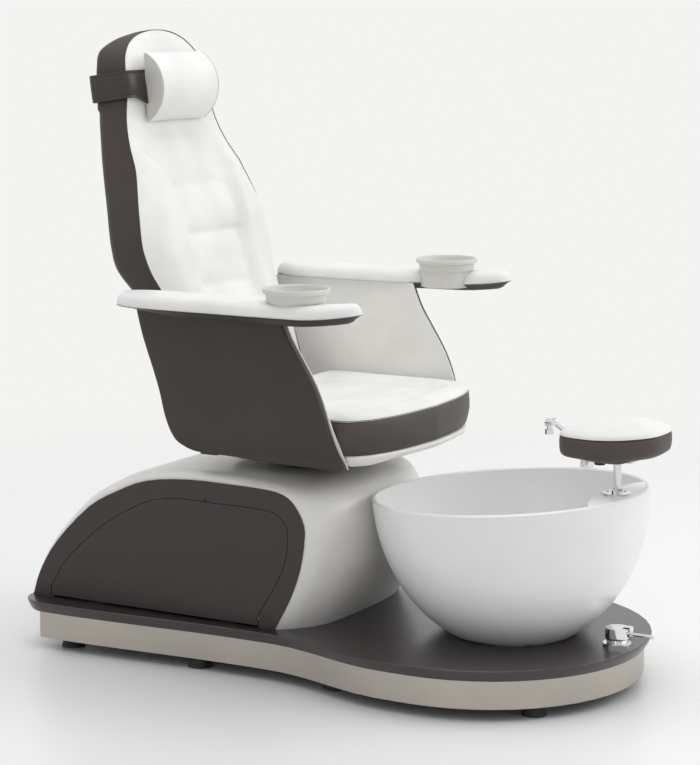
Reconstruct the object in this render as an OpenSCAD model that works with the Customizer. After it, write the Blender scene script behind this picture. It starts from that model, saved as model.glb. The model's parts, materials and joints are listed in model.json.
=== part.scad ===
// Pedicure spa chair: a swivelling, reclining client seat on a storage pedestal,
// with a foot bowl, footrest, spout and mixer on one shared platform.
// Millimetres. X across the chair, -Y towards the foot bowl, +Z up, floor at Z 0.

/* [Platform] */
// Height of the levelling feet under the skirt
foot_h = 25; // [18:1:35]
// Height of the steel skirt
skirt_h = 58; // [45:1:70]
// Thickness of the deck slab
slab_t = 23; // [20:1:34]
// Half width of the deck under the seat
deck_half_w = 305; // [300:1:320]
// Radius of the round front of the deck
deck_front_r = 347; // [340:1:360]
// Distance from the frame origin back to the rear edge of the deck
deck_rear_y = 695; // [693:1:720]
// Corner radius at the rear of the deck
deck_corner_r = 70; // [40:1:80]
// How far the skirt sits back from the slab edge
skirt_inset = 15; // [8:1:20]
// Sheet thickness of the skirt
skirt_t = 2; // [1.5:0.5:4]

/* [Pedestal] */
// Height of the side panels above the deck
panel_h = 295; // [270:1:300]
// Half width of the pedestal shell
ped_half_w = 243; // [225:1:255]
// Wall of the pedestal shell
ped_wall = 5; // [3:0.5:8]
// How far the front of the pedestal bulges forward
ped_bulge = 74; // [60:1:78]
// Thickness of the side panels and doors
panel_t = 4; // [3:0.5:6]
// Gap round each door
door_gap = 1.5; // [1:0.5:3]

/* [Swivel] */
// Distance from the frame origin back to the swivel axis
swivel_y = 130; // [120:1:145]
// Radius of the swivel column
column_r = 50; // [44:1:56]
// Radius of the swivel shaft
shaft_r = 20; // [16:1:24]
// Radius of the round cover under the seat
disc_r = 162; // [150:1:200]

/* [Seat] */
// Half width between the outer faces of the side walls
wall_out = 292; // [290:1:296]
// How far the side walls curve inwards at their foot
wall_tuck = 32; // [20:1:34]
// Thickness of each dark side wall
wall_t = 14; // [10:1:16]
// Thickness of each inner liner
liner_t = 4; // [3:0.5:6]
// Height of the armrest underside above the seat pan
arm_h = 291; // [280:1:305]
// Thickness of the seat pan
pan_t = 16; // [12:1:20]
// Height of the cushion's dark border
border_h = 73; // [60:1:85]
// Crown of the cushion above its border
cushion_crown = 16; // [10:1:30]

/* [Armrests] */
// Thickness of the dark lower half of an armrest
arm_base_t = 14; // [12:1:18]
// Thickness of the white upper half of an armrest
arm_pad_t = 25; // [18:1:32]
// Distance of the manicure bowls from the centre line
cup_x = 323; // [318:1:328]
// Distance of the manicure bowls from the frame origin, forward
cup_y = 32; // [20:1:44]
// Outer radius of the bowl ring
ring_r = 57; // [52:1:58]
// Rim radius of a manicure bowl
cup_rim_r = 67.5; // [64:0.5:72]
// Height of the manicure bowl above its ring
cup_rise = 27; // [20:1:34]

/* [Backrest] */
// Height of the backrest above its lower edge
back_h = 841; // [780:1:880]
// Radius of the recline shaft
hinge_r = 8; // [6:0.5:10]
// Crown of the back cushion in front of its seam
back_crown = 34; // [24:1:36]
// Half width of the headrest roll
roll_half_w = 107; // [95:1:120]
// Height of the headrest roll
roll_h = 148; // [130:1:160]
// Depth of the headrest roll
roll_d = 46; // [35:1:55]
// Height of the headrest strap
strap_h = 58; // [40:1:70]

/* [Foot bowl] */
// Rim radius of the foot bowl
bowl_r = 284.5; // [275:0.5:286]
// Height of the rim centre above the deck
bowl_h = 294; // [280:1:305]
// Radius of the bowl's round base on the deck
bowl_base_r = 130; // [120:1:140]
// Wall of the foot bowl
bowl_wall = 10; // [7:1:14]
// Tilt of the bowl, with its rim rising to the front
bowl_tilt = 4; // [3:0.2:5]

/* [Footrest] */
// Radius of the footrest post
post_r = 8; // [6:0.5:10]
// Height of the footrest's underside above its shelf
post_h = 76; // [66:1:86]
// Half width of the footrest pad
rest_half_w = 98; // [90:1:106]
// Length of the footrest pad
rest_len = 220; // [205:1:235]
// Height of the footrest pad's dark border
rest_border = 46; // [38:1:52]

/* [Water fittings] */
// Radius of the spout column
spout_column_r = 15; // [13:0.5:16]
// Reach of the spout from its column
spout_reach = 140; // [125:1:155]
// Radius of the spout tube
spout_r = 5.5; // [4:0.5:7]
// Radius of the mixer body
mixer_r = 24.5; // [20:0.5:28]
// Height of the mixer above the deck
mixer_h = 37; // [30:1:45]
// Length of the mixer's lever
lever_len = 54; // [40:1:70]

/* [Hidden] */

// Clearances
run_gap = 0.05;
fit_gap = 0.3;
eps = 1;

// Levels, from the floor up
skirt_z = foot_h;
slab_z = skirt_z + skirt_h;
deck_z = slab_z + slab_t;
column_top_z = deck_z + panel_h + 27;
bearing_t = 12;
disc_z = column_top_z + bearing_t;
disc_t = 18;
frame_z = disc_z + disc_t;
frame_t = 12;
seat_z = frame_z + frame_t;
cushion_z = seat_z + pan_t;
cushion_top_z = cushion_z + border_h;
arm_z = seat_z + arm_h;
arm_seam_z = arm_z + arm_base_t;
arm_top_z = arm_seam_z + arm_pad_t;
back_z = seat_z + 15;

// Colours
dark = [0.24, 0.21, 0.20];
white = [0.94, 0.94, 0.93];
grey = [0.78, 0.77, 0.75];
plum = [0.23, 0.18, 0.18];
steel = [0.72, 0.70, 0.67];
chrome = [0.85, 0.85, 0.86];
black = [0.08, 0.08, 0.08];
brass = [0.75, 0.62, 0.35];

// ---------- Curves and solids shared by the parts ----------

function mix(a, b, t) = a * (1 - t) + b * t;
function clamp01(t) = max(0, min(1, t));
function ease(t) = let (c = clamp01(t)) c * c * (3 - 2 * c);

// Point t between b and c of a smooth curve through a, b, c and d
function blend4(a, b, c, d, t) = 0.5 * (2 * b + (c - a) * t
    + (2 * a - 5 * b + 4 * c - d) * t * t + (3 * b - a - 3 * c + d) * t * t * t);

// Smooth curve through points, open or closed, with n steps between two points
function open_curve(p, n) = let (last = len(p) - 1) [for (i = [0:last - 1], k = [0:n - 1])
    blend4(p[max(0, i - 1)], p[i], p[i + 1], p[min(last, i + 2)], k / n), p[last]];
function closed_curve(p, n) = let (m = len(p)) [for (i = [0:m - 1], k = [0:n - 1])
    blend4(p[(i + m - 1) % m], p[i], p[(i + 1) % m], p[(i + 2) % m], k / n)];

// Unit normal on the right-hand side of the direction a to b
function right_of(a, b) = let (d = [b[0] - a[0], b[1] - a[1]], l = max(norm(d), 0.001)) [d[1], -d[0]] / l;

// A counter-clockwise outline, moved inwards
function inset_loop(p, d) = let (m = len(p)) [for (i = [0:m - 1])
    let (n = right_of(p[(i + m - 1) % m], p[(i + 1) % m])) [p[i][0] - n[0] * d, p[i][1] - n[1] * d]];

// The row of a table of [z, values...] at height z, smoothed between its rows
function row_at(t, z) = let (i = max([for (k = [0:len(t) - 2]) z >= t[k][0] ? k : 0]),
    f = clamp01((z - t[i][0]) / (t[i + 1][0] - t[i][0])))
    blend4(t[max(0, i - 1)], t[i], t[i + 1], t[min(len(t) - 1, i + 2)], f);

function reversed(p) = [for (i = [len(p) - 1:-1:0]) p[i]];

// The other half of a path that ends in the middle, run on from there
function mirrored(p) = [for (i = [len(p) - 2:-1:0]) [-p[i][0], p[i][1]]];

// Solid through a stack of rings that each run counter-clockwise about the stacking axis
module loft(rings) {
    n = len(rings[0]);
    m = len(rings);
    points = [for (r = rings) each r];
    sides = [for (k = [0:m - 2], i = [0:n - 1]) let (a = k * n + i, b = k * n + (i + 1) % n)
        each [[a, b + n, b], [a, a + n, b + n]]];
    caps = [[for (i = [0:n - 1]) i], [for (i = [n - 1:-1:0]) (m - 1) * n + i]];
    polyhedron(points, concat(sides, caps), convexity = 8);
}

// Ring of an outline at one height
function level(p, z) = [for (q = p) [q[0], q[1], z]];

// Upholstered slab: a straight border with a crowned top or bottom
function crown_rings(p, z, rise, steps, depth) = [for (k = [0:steps])
    let (a = 90 * k / steps) level(inset_loop(p, depth * (1 - cos(a))), z + rise * sin(a))];

// Prism with a YZ outline between two X values
module yz_prism(p, x0, x1) {
    translate([x0, 0, 0]) rotate([90, 0, 90]) linear_extrude(x1 - x0) polygon(p);
}

module both_sides() {
    children();
    mirror([1, 0, 0]) children();
}

module tube_z(r, inner, z0, z1) {
    translate([0, 0, z0]) difference() {
        cylinder(r = r, h = z1 - z0, $fn = 64);
        translate([0, 0, -eps]) cylinder(r = inner, h = z1 - z0 + 2 * eps, $fn = 64);
    }
}

module rod(a, b, r) {
    d = b - a;
    l = norm(d);
    translate(a) rotate([0, acos(d[2] / l), atan2(d[1], d[0])]) cylinder(r = r, h = l, $fn = 32);
}

function unit(v) = v / max(norm(v), 0.001);

// Tube through points, mitred where it bends; flat is a direction that it never runs along
module tube_through(p, r, flat, sides = 16) {
    last = len(p) - 1;
    loft([for (i = [0:last]) let (u = unit(p[i] - p[max(0, i - 1)]), v = unit(p[min(last, i + 1)] - p[i]),
        along = i == 0 ? v : i == last ? u : unit(u + v), turn = i == 0 || i == last ? 1 : max(0.4, u * along),
        side = unit(cross(flat, along)), up = cross(along, side))
        [for (k = [0:sides - 1]) let (a = 360 * k / sides) p[i] + r * cos(a) * side + r * sin(a) * up / turn]]);
}

// ---------- Platform ----------

rail_x = 235;
rail_feet = [590, 260, -70];
front_foot = [200, -500];
foot_pad_r = 26;
foot_stud_r = 6;
foot_nut_r = 11;
foot_nut_t = 6;
rail_w = 30;
rail_h = 40;
rail_front = -490;
rail_rear = 640;
member_ys = [600, 200, -120];
member_w = 40;
front_member = [-530, -470];
member_t = 20;
deck_front_y = deck_front_r - 637;
deck_neck = [70, -230];
deck_waist = 24;
// Deck edge from its underside up, as [inset, share of the thickness]
slab_rings = [[10, 0], [5, 0.33], [1.6, 0.68], [0, 0.87], [0.4, 0.96], [1.6, 1]];

// Outline of the deck, inset by d
function deck_half(y, d) = mix(deck_half_w - deck_waist * ease((600 - y) / 480), deck_front_r,
    ease((deck_neck[0] - y) / (deck_neck[0] - deck_neck[1]))) - d;
function deck_outline(d) = concat(
    [for (y = [deck_front_y:50:deck_rear_y - deck_corner_r - 40]) [deck_half(y, d), y]],
    [for (a = [0:15:90]) let (r = deck_corner_r - d)
        [deck_half_w - deck_corner_r + r * cos(a), deck_rear_y - deck_corner_r + r * sin(a)]],
    [for (a = [90:15:180]) let (r = deck_corner_r - d)
        [-deck_half_w + deck_corner_r + r * cos(a), deck_rear_y - deck_corner_r + r * sin(a)]],
    [for (y = [deck_rear_y - deck_corner_r - 65:-50:deck_front_y + 10]) [-deck_half(y, d), y]],
    [for (a = [180:7.5:352.5]) [(deck_front_r - d) * cos(a), deck_front_y + (deck_front_r - d) * sin(a)]]);

// Outline of the skirt, inset by d from the deck at the sides and set further back at the rear
skirt_back = 50;
skirt_rear_y = deck_rear_y - skirt_back;
skirt_corner_r = 12;
function skirt_corner(side, turns, d) = let (r = skirt_corner_r - d + skirt_inset) [for (a = turns)
    [side * (deck_half_w - skirt_inset - skirt_corner_r) + r * cos(a), skirt_rear_y - skirt_corner_r + r * sin(a)]];
function skirt_outline(d) = concat(
    [for (y = [deck_front_y:50:skirt_rear_y - skirt_corner_r - 20]) [deck_half(y, d), y]],
    skirt_corner(1, [0:30:90], d), skirt_corner(-1, [90:30:180], d),
    [for (y = [skirt_rear_y - skirt_corner_r - 45:-50:deck_front_y + 10]) [-deck_half(y, d), y]],
    [for (a = [180:7.5:352.5]) [(deck_front_r - d) * cos(a), deck_front_y + (deck_front_r - d) * sin(a)]]);

module platform_top() {
    color(plum) difference() {
        loft([for (q = slab_rings) level(deck_outline(q[0]), slab_z + q[1] * slab_t)]);
        for (p = deck_holes) translate([p[0], p[1], slab_z - eps]) cylinder(r = p[2], h = slab_t + 2 * eps, $fn = 48);
    }
}

module platform_skirt() {
    color(steel) translate([0, 0, skirt_z]) difference() {
        linear_extrude(skirt_h) polygon(skirt_outline(skirt_inset));
        translate([0, 0, -eps]) linear_extrude(skirt_h + 2 * eps) polygon(skirt_outline(skirt_inset + skirt_t));
        for (p = rear_ports) translate([p[0], skirt_rear_y + eps, p[1] - skirt_z])
            rotate([90, 0, 0]) cylinder(r = p[2] + fit_gap, h = skirt_t + 3 * eps, $fn = 48);
    }
}

module base_rails() {
    color(steel) both_sides() difference() {
        translate([rail_x - rail_w / 2, rail_front, slab_z - rail_h]) cube([rail_w, rail_rear - rail_front, rail_h]);
        for (y = rail_feet) translate([rail_x, y, slab_z - rail_h - eps])
            cylinder(r = foot_stud_r + fit_gap, h = rail_h + 2 * eps, $fn = 32);
    }
}

module base_cross_members() {
    half = rail_x - rail_w / 2;
    color(steel) {
        for (y = member_ys) translate([-half, y - member_w / 2, slab_z - member_t]) cube([2 * half, member_w, member_t]);
        difference() {
            translate([-half, front_member[0], slab_z - member_t])
                cube([2 * half, front_member[1] - front_member[0], member_t]);
            both_sides() translate([front_foot[0], front_foot[1], slab_z - member_t - eps])
                cylinder(r = foot_stud_r + fit_gap, h = member_t + 2 * eps, $fn = 32);
        }
    }
}

module levelling_foot(seat) {
    pad_h = foot_h - 6;
    cylinder(r1 = foot_pad_r, r2 = foot_pad_r - 5, h = pad_h, $fn = 40);
    translate([0, 0, pad_h]) cylinder(r = foot_stud_r, h = slab_z - pad_h - eps, $fn = 32);
    translate([0, 0, seat - foot_nut_t]) cylinder(r = foot_nut_r, h = foot_nut_t, $fn = 6);
}

module levelling_feet() {
    color(black) both_sides() {
        for (y = rail_feet) translate([rail_x, y, 0]) levelling_foot(slab_z - rail_h);
        translate([front_foot[0], front_foot[1], 0]) levelling_foot(slab_z - member_t);
    }
}

// ---------- Pedestal ----------

// Side panel edge as [y, height share, white rim width, share of the front bulge], from the rear up and forward
panel_curve = [[687, 0, 1, 0], [667, 0.19, 9, 0], [620, 0.432, 14, 0], [535, 0.712, 18, 0], [461, 0.854, 21, 0],
    [385, 0.955, 22, 0], [282, 0.998, 20, 0.03], [168, 0.998, 15, 0.36], [96, 0.992, 10, 0.72], [56, 0.974, 7, 0.88], [27, 0.92, 6, 0.93],
    [3, 0.8, 5, 0.88], [-2, 0.68, 5, 0.9], [9, 0.45, 5, 1], [33, 0.23, 5, 1], [70, 0, 5, 1]];
panel_edge = [for (q = open_curve(panel_curve, 3)) [q[0], deck_z + q[1] * panel_h, q[2], clamp01(q[3])]];
rim_round = 25;
bulge_power = 4.5;

// Pedestal profile at a share t of the rounded rim (0 at the side face, 1 at full size), set in by wall
function ped_section(x, t, wall, bulge) = let (m = len(panel_edge)) [for (i = [0:m - 1])
    let (q = panel_edge[i], n = right_of(panel_edge[max(0, i - 1)], panel_edge[min(m - 1, i + 1)]),
        d = q[2] * t - wall, ends = i == 0 || i == m - 1)
        [x, q[0] + n[0] * d - q[3] * bulge, max(deck_z, q[1] + (ends ? 0 : n[1] * d))]];

// Sections across the pedestal from one side to the other
function ped_sections(wall) = let (w = ped_half_w - wall) [for (s = ped_stations(w))
    ped_section(s[0], s[1], wall, ped_bulge * (1 - pow(abs(s[0]) / w, bulge_power)))];

// Stations as [x, share of the rim]
function ped_stations(w) = let (edge = [for (a = [0:22.5:90]) [-w + rim_round * (1 - cos(a)), sin(a)]],
    inner = [for (f = [0.86, 0.68, 0.46, 0.22, 0]) [-(w - rim_round) * f, 1]],
    half = concat(edge, inner), m = len(half))
    concat(half, [for (i = [m - 2:-1:0]) [-half[i][0], half[i][1]]]);

// Hollow shell, open at the bottom, between two sets of sections that run rear, top, front
module hood(outer, inner) {
    n = len(outer[0]);
    m = len(outer);
    o = m * n;
    e = (m - 1) * n;
    skin = [for (k = [0:m - 2], i = [0:n - 2]) let (a = k * n + i, b = a + 1) each
        [[a, b + n, b], [a, a + n, b + n], [o + a, o + b, o + b + n], [o + a, o + b + n, o + a + n]]];
    ends = [[for (i = [0:n - 1]) i], [for (i = [n - 1:-1:0]) e + i],
        [for (i = [n - 1:-1:0]) o + i], [for (i = [0:n - 1]) o + e + i]];
    edge = [for (k = [0:m - 2]) let (a = k * n, f = a + n - 1) each
        [[a, o + a, o + a + n], [a, o + a + n, a + n], [f, f + n, o + f + n], [f, o + f + n, o + f]]];
    sides = [[0, n - 1, o + n - 1], [0, o + n - 1, o], [e, o + e, o + e + n - 1], [e, o + e + n - 1, e + n - 1]];
    polyhedron(concat([for (r = outer) each r], [for (r = inner) each r]), concat(skin, ends, edge, sides),
        convexity = 10);
}

// Door edge as [y, height share], from the rear up and forward
door_curve = [[638, 0.014], [638, 0.05], [637, 0.09], [625, 0.144], [593, 0.307], [493, 0.6], [387, 0.796],
    [310, 0.852], [225, 0.85], [92, 0.845], [52, 0.795], [37, 0.69], [50, 0.43], [109, 0.09], [110, 0.05], [110, 0.014]];
door_sill = 4;
door_rebate = 12;
door_foot_gap = 2.5;
door_edge = [for (q = open_curve(door_curve, 3)) [q[0], deck_z + q[1] * panel_h]];

// Door outline grown by d, with its lower edge at a height of its own
function door_shape(d, low) = let (p = inset_loop(door_edge, -d), m = len(p))
    [for (i = [0:m - 1]) [p[i][0], i == 0 || i == m - 1 ? low : p[i][1]]];

module pedestal_shell() {
    color(white) difference() {
        hood(ped_sections(0), ped_sections(ped_wall));
        both_sides() {
            front = door_curve[len(door_curve) - 1][0];
            yz_prism(door_shape(-door_rebate, deck_z - eps), ped_half_w - ped_wall - 3 * eps, ped_half_w + eps);
            translate([ped_half_w - ped_wall - 3 * eps, front - 2, deck_z - eps])
                cube([ped_wall + 4 * eps, door_curve[0][0] - front + 4, hinge_axis_z - deck_z + 2]);
        }
        translate([0, swivel_y, column_top_z - 60]) cylinder(r = column_flange_r + 5, h = 100, $fn = 64);
    }
}

notch_y = 233;
notch_r = 7;
notch_floor = 1;

module side_panel() {
    color(dark) difference() {
        yz_prism([for (q = panel_edge) [q[0], q[1]]], ped_half_w, ped_half_w + panel_t);
        yz_prism(door_shape(door_gap, deck_z - eps), ped_half_w - eps, ped_half_w + panel_t + eps);
        translate([ped_half_w - eps, door_curve[len(door_curve) - 1][0] - door_foot_gap, deck_z - eps])
            cube([panel_t + 2 * eps, door_curve[0][0] - door_curve[len(door_curve) - 1][0] + 2 * door_foot_gap,
                hinge_axis_z - deck_z + 12]);
        translate([ped_half_w + notch_floor, notch_y, deck_z + 0.85 * panel_h + 2])
            rotate([0, 90, 0]) cylinder(r = notch_r, h = panel_t + 2 * eps, $fn = 32);
    }
}

// Door hinges: an axis inside the shell, above the deck
hinge_axis_x = ped_half_w - 5;
hinge_axis_z = deck_z + 14;
hinge_pin_r = 2.5;
hinge_eye_r = 4.4;
hinge_ys = [200, 540];
hinge_lug = 20;
hinge_ear = 12;
hinge_foot_x = 212;

module door() {
    color(dark) difference() {
        union() {
            yz_prism(door_shape(0, deck_z + door_sill), ped_half_w, ped_half_w + panel_t);
            for (y = hinge_ys) {
                translate([hinge_axis_x, y + hinge_lug / 2, hinge_axis_z]) rotate([90, 0, 0])
                    cylinder(r = hinge_eye_r, h = hinge_lug, $fn = 32);
                translate([hinge_axis_x, y - hinge_lug / 2, hinge_axis_z - hinge_eye_r])
                    cube([ped_half_w - hinge_axis_x, hinge_lug, 2 * hinge_eye_r]);
            }
        }
        for (y = hinge_ys) translate([hinge_axis_x, y + hinge_lug / 2 + eps, hinge_axis_z]) rotate([90, 0, 0])
            cylinder(r = hinge_pin_r + run_gap, h = hinge_lug + 2 * eps, $fn = 32);
    }
}

module door_hardware() {
    span = hinge_lug / 2 + fit_gap + hinge_ear;
    color(steel) both_sides() {
        for (y = hinge_ys) translate([0, y, 0]) {
            translate([hinge_foot_x, -span, deck_z]) cube([10, 2 * span, hinge_axis_z - deck_z + hinge_eye_r]);
            for (s = [-1, 1]) translate([0, s * (hinge_lug / 2 + fit_gap + hinge_ear / 2), hinge_axis_z]) {
                translate([hinge_foot_x, -hinge_ear / 2, -hinge_eye_r])
                    cube([hinge_axis_x - hinge_foot_x, hinge_ear, 2 * hinge_eye_r]);
                translate([hinge_axis_x, hinge_ear / 2, 0]) rotate([90, 0, 0])
                    cylinder(r = hinge_eye_r, h = hinge_ear, $fn = 32);
            }
            translate([hinge_axis_x, span, hinge_axis_z]) rotate([90, 0, 0])
                cylinder(r = hinge_pin_r, h = 2 * span, $fn = 32);
        }
        catch_z = deck_z + 0.85 * panel_h - door_rebate;
        translate([ped_half_w - ped_wall - 12, notch_y - 12, catch_z - 14]) cube([12, 24, 28]);
        translate([ped_half_w - ped_wall - 1, notch_y - 12, catch_z - 14]) cube([ped_wall + 1 - fit_gap, 24, 13]);
    }
}

// ---------- Swivel ----------

column_wall = 8;
column_flange_r = 75;
column_flange_t = 8;
column_base_r = 105;
column_base_t = 10;
shaft_sleeve = 90;
bolt_r = 5;
base_bolt_pcd = 90;
base_bolts = 6;

module swivel_column() {
    color(steel) translate([0, swivel_y, 0]) {
        difference() {
            union() {
                translate([0, 0, deck_z]) cylinder(r = column_base_r, h = column_base_t, $fn = 96);
                tube_z(column_r, column_r - column_wall, deck_z + column_base_t, column_top_z - column_flange_t);
                translate([0, 0, column_top_z - column_flange_t])
                    cylinder(r = column_flange_r, h = column_flange_t, $fn = 96);
                translate([0, 0, column_top_z - shaft_sleeve]) cylinder(r = column_r - column_wall,
                    h = shaft_sleeve, $fn = 64);
            }
            translate([0, 0, deck_z - eps]) cylinder(r = shaft_r + run_gap, h = column_top_z, $fn = 64);
            for (k = [1:base_bolts]) rotate([0, 0, 360 * k / base_bolts]) translate([base_bolt_pcd, 0, deck_z - eps])
                cylinder(r = bolt_r + fit_gap, h = column_base_t + 2 * eps, $fn = 32);
        }
    }
}

module swivel_bearing() {
    color(steel) translate([0, swivel_y, 0]) tube_z(column_flange_r - 5, shaft_r + 6, column_top_z, column_top_z + bearing_t / 2);
}

module swivel_shaft() {
    color(chrome) translate([0, swivel_y, column_top_z - shaft_sleeve + 5])
        cylinder(r = shaft_r, h = frame_z - column_top_z + shaft_sleeve - 5, $fn = 64);
}

module swivel_disc() {
    color(black) translate([0, swivel_y, 0]) difference() {
        union() {
            translate([0, 0, disc_z]) cylinder(r1 = disc_r - 6, r2 = disc_r, h = 4, $fn = 96);
            translate([0, 0, disc_z + 4]) cylinder(r = disc_r, h = disc_t - 4, $fn = 96);
            translate([0, 0, disc_z - bearing_t / 2]) cylinder(r = column_flange_r - 5, h = bearing_t / 2, $fn = 96);
        }
        translate([0, 0, disc_z - bearing_t]) cylinder(r = shaft_r + run_gap, h = disc_t + 2 * bearing_t, $fn = 64);
    }
}

// ---------- Inside the pedestal and under the deck ----------

pump_y = 535;
pump_r = 45;
pump_h = 90;
pump_port_dy = 25;
hose_r = 12.5;
hose_z = skirt_z + 18;
supply_r = 5.5;
supply_x = 70;
supply_z = slab_z - member_t - supply_r - 3;
spout_supply_z = skirt_z + supply_r + 0.5;
connector_y = skirt_rear_y + skirt_inset - 1;
inlet_r = 10.5;
port_collar = 2;
port_end = 6;
port_l = 34;
power_x = -150;
rear_ports = [[-supply_x, supply_z, inlet_r + port_collar], [supply_x, supply_z, inlet_r + port_collar],
    [0, hose_z, hose_r + port_collar], [power_x, 50, 16]];

module control_box() {
    color(black) translate([-80, 330, deck_z]) cube([160, 100, 90]);
    color(grey) translate([-60, 322, deck_z + 20]) cube([120, 8, 50]);
}

module drain_pump() {
    color(black) translate([0, pump_y, deck_z]) {
        cylinder(r = pump_r, h = pump_h, $fn = 64);
        translate([0, 0, pump_h]) cylinder(r = pump_r - 15, h = 35, $fn = 64);
    }
}

// Hose down through the deck at one end and along under it, with a rounded bend
module hose_down(x, y0, y1, z, r) {
    s = sign(y1 - y0);
    bend = 1.6 * r;
    tube_through(concat([[x, y0, deck_z]], [for (a = [0:30:90]) [x, y0 + s * bend * (1 - cos(a)), z + bend * (1 - sin(a))]],
        [[x, y1, z]]), r, [1, 0, 0]);
}

module drain_hose() {
    color(grey) {
        hose_down(0, pump_y - pump_port_dy, drain_port_y, hose_z, hose_r);
        hose_down(0, pump_y + pump_port_dy, connector_y - port_l, hose_z, hose_r);
    }
}

module supply_hoses() {
    run = 40;
    color(steel) {
        for (s = [-1, 1]) tube_through([[mixer_x + 6.5 * s, -mixer_y, deck_z], [mixer_x + 6.5 * s, -mixer_y, supply_z + 8],
            [mixer_x + 10 * s, -mixer_y + 4, supply_z], [s * supply_x, -mixer_y + 90, supply_z],
            [s * supply_x, -mixer_y + 130, supply_z], [s * supply_x, connector_y - port_l, supply_z]], supply_r, [0.9, -0.4, 0.1]);
        tube_through([[mixer_x, -mixer_y - 12, deck_z], [mixer_x, -mixer_y - 12, spout_supply_z + 10],
            [mixer_x + 8, -mixer_y - 8, spout_supply_z], [spout_x - run, -spout_y - run / 2, spout_supply_z],
            [spout_x - 6, -spout_y - 3, spout_supply_z + 3], [spout_x, -spout_y, spout_supply_z + 12],
            [spout_x, -spout_y, deck_z]], supply_r, [0.5, -0.85, 0.1]);
    }
}

module rear_connectors() {
    color(brass) for (p = [rear_ports[0], rear_ports[1], rear_ports[2]]) translate([p[0], connector_y, p[1]])
        rotate([90, 0, 0]) {
            cylinder(r = p[2] - port_collar, h = port_l, $fn = 48);
            translate([0, 0, skirt_inset - port_end]) cylinder(r = p[2], h = port_l - skirt_inset + port_end, $fn = 48);
            translate([0, 0, connector_y - skirt_rear_y + skirt_t]) cylinder(r = p[2] + 3, h = 6, $fn = 6);
        }
}

module power_inlet() {
    color(black) translate([power_x, skirt_rear_y - 24, 50]) {
        rotate([-90, 0, 0]) cylinder(r = 16, h = 28, $fn = 48);
        translate([-20, 0, -20]) cube([40, 22 - skirt_t, 40]);
    }
}

// ---------- Foot bowl ----------

bowl_y = 369;
bowl_floor = 26;
bowl_steps = 14;
shelf_rise = 15;
shelf_t = 12;
shelf_back = 105.5;
shelf_curve_r = 297;
shelf_front = bowl_y + bowl_r - shelf_back;
shelf_z = deck_z + bowl_h + shelf_rise;
post_back = 70.5;
post_y = bowl_y + bowl_r - post_back;
socket_r = 11;
bowl_drop = bowl_h / sqrt(1 - pow(bowl_base_r / bowl_r, 2));
drain_r = 20;
drain_flange_r = 32;
drain_flange_t = 3;
drain_tail = 74;
drain_port_y = -bowl_y + 25;
stem_r = 6;

module in_bowl_frame() {
    translate([0, -bowl_y, deck_z]) rotate([-bowl_tilt, 0, 0]) children();
}

// Bowl radius by height, for a wall set in by d, from height low up to the rim
function bowl_curve(d, low) = let (a0 = asin((bowl_h - low) / (bowl_drop - d)))
    [for (k = [0:bowl_steps]) let (a = a0 * (1 - k / bowl_steps))
        [(bowl_r - d) * cos(a), bowl_h - (bowl_drop - d) * sin(a)]];

module foot_bowl() {
    lip = bowl_wall * 0.3;
    outer = bowl_curve(0, -16);
    inner = bowl_curve(bowl_wall, bowl_floor);
    color(white) difference() {
        union() {
            in_bowl_frame() rotate_extrude($fn = 128) polygon(concat([[0, -16]], [for (q = outer) q[1] > bowl_h - 1
                ? [q[0], bowl_h - lip] : q], [[bowl_r - lip, bowl_h], [bowl_r - bowl_wall + lip, bowl_h]],
                [for (q = reversed(inner)) q[1] > bowl_h - 1 ? [q[0], bowl_h - lip] : q], [[0, bowl_floor]]));
            intersection() {
                in_bowl_frame() rotate_extrude($fn = 128) polygon(concat([[0, bowl_h - 200]],
                    bowl_curve(bowl_wall / 2, bowl_h - 200), [[0, bowl_h]]));
                translate([0, -shelf_curve_r - shelf_front, shelf_z - shelf_t])
                    cylinder(r = shelf_curve_r, h = shelf_t, $fn = 180);
            }
        }
        translate([-bowl_r, -bowl_y - bowl_r, deck_z - 60]) cube([2 * bowl_r, 2 * bowl_r, 60]);
        in_bowl_frame() translate([0, 0, -30]) cylinder(r = drain_r + fit_gap, h = 80, $fn = 64);
        translate([0, -post_y, shelf_z - shelf_t - eps]) cylinder(r = socket_r + fit_gap, h = shelf_t + 2 * eps, $fn = 48);
    }
}

module bowl_drain() {
    color(chrome) difference() {
        union() {
            in_bowl_frame() {
                translate([0, 0, bowl_floor]) cylinder(r = drain_flange_r, h = drain_flange_t, $fn = 64);
                translate([0, 0, -drain_tail]) cylinder(r = drain_r, h = drain_tail + bowl_floor, $fn = 64);
            }
            translate([0, -bowl_y - 5, hose_z]) rotate([-90, 0, 0]) cylinder(r = hose_r + 2, h = drain_port_y + bowl_y + 5, $fn = 48);
        }
        in_bowl_frame() difference() {
            translate([0, 0, -drain_tail + 5]) cylinder(r = drain_r - 4, h = drain_tail + bowl_floor, $fn = 64);
            translate([0, 0, -6]) cylinder(r = drain_r, h = 8, $fn = 64);
        }
        in_bowl_frame() {
            translate([0, 0, -7]) cylinder(r = stem_r + run_gap, h = 10, $fn = 48);
            for (a = [45:90:315]) rotate([0, 0, a]) translate([11, 0, -7]) cylinder(r = 3, h = 10, $fn = 24);
        }
    }
}

module waste_plug() {
    color(chrome) in_bowl_frame() {
        translate([0, 0, bowl_floor + drain_flange_t]) cylinder(r = 27, h = 5, $fn = 64);
        translate([0, 0, -25]) cylinder(r = stem_r, h = 25 + bowl_floor + drain_flange_t, $fn = 48);
    }
}

// ---------- Footrest ----------

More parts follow.
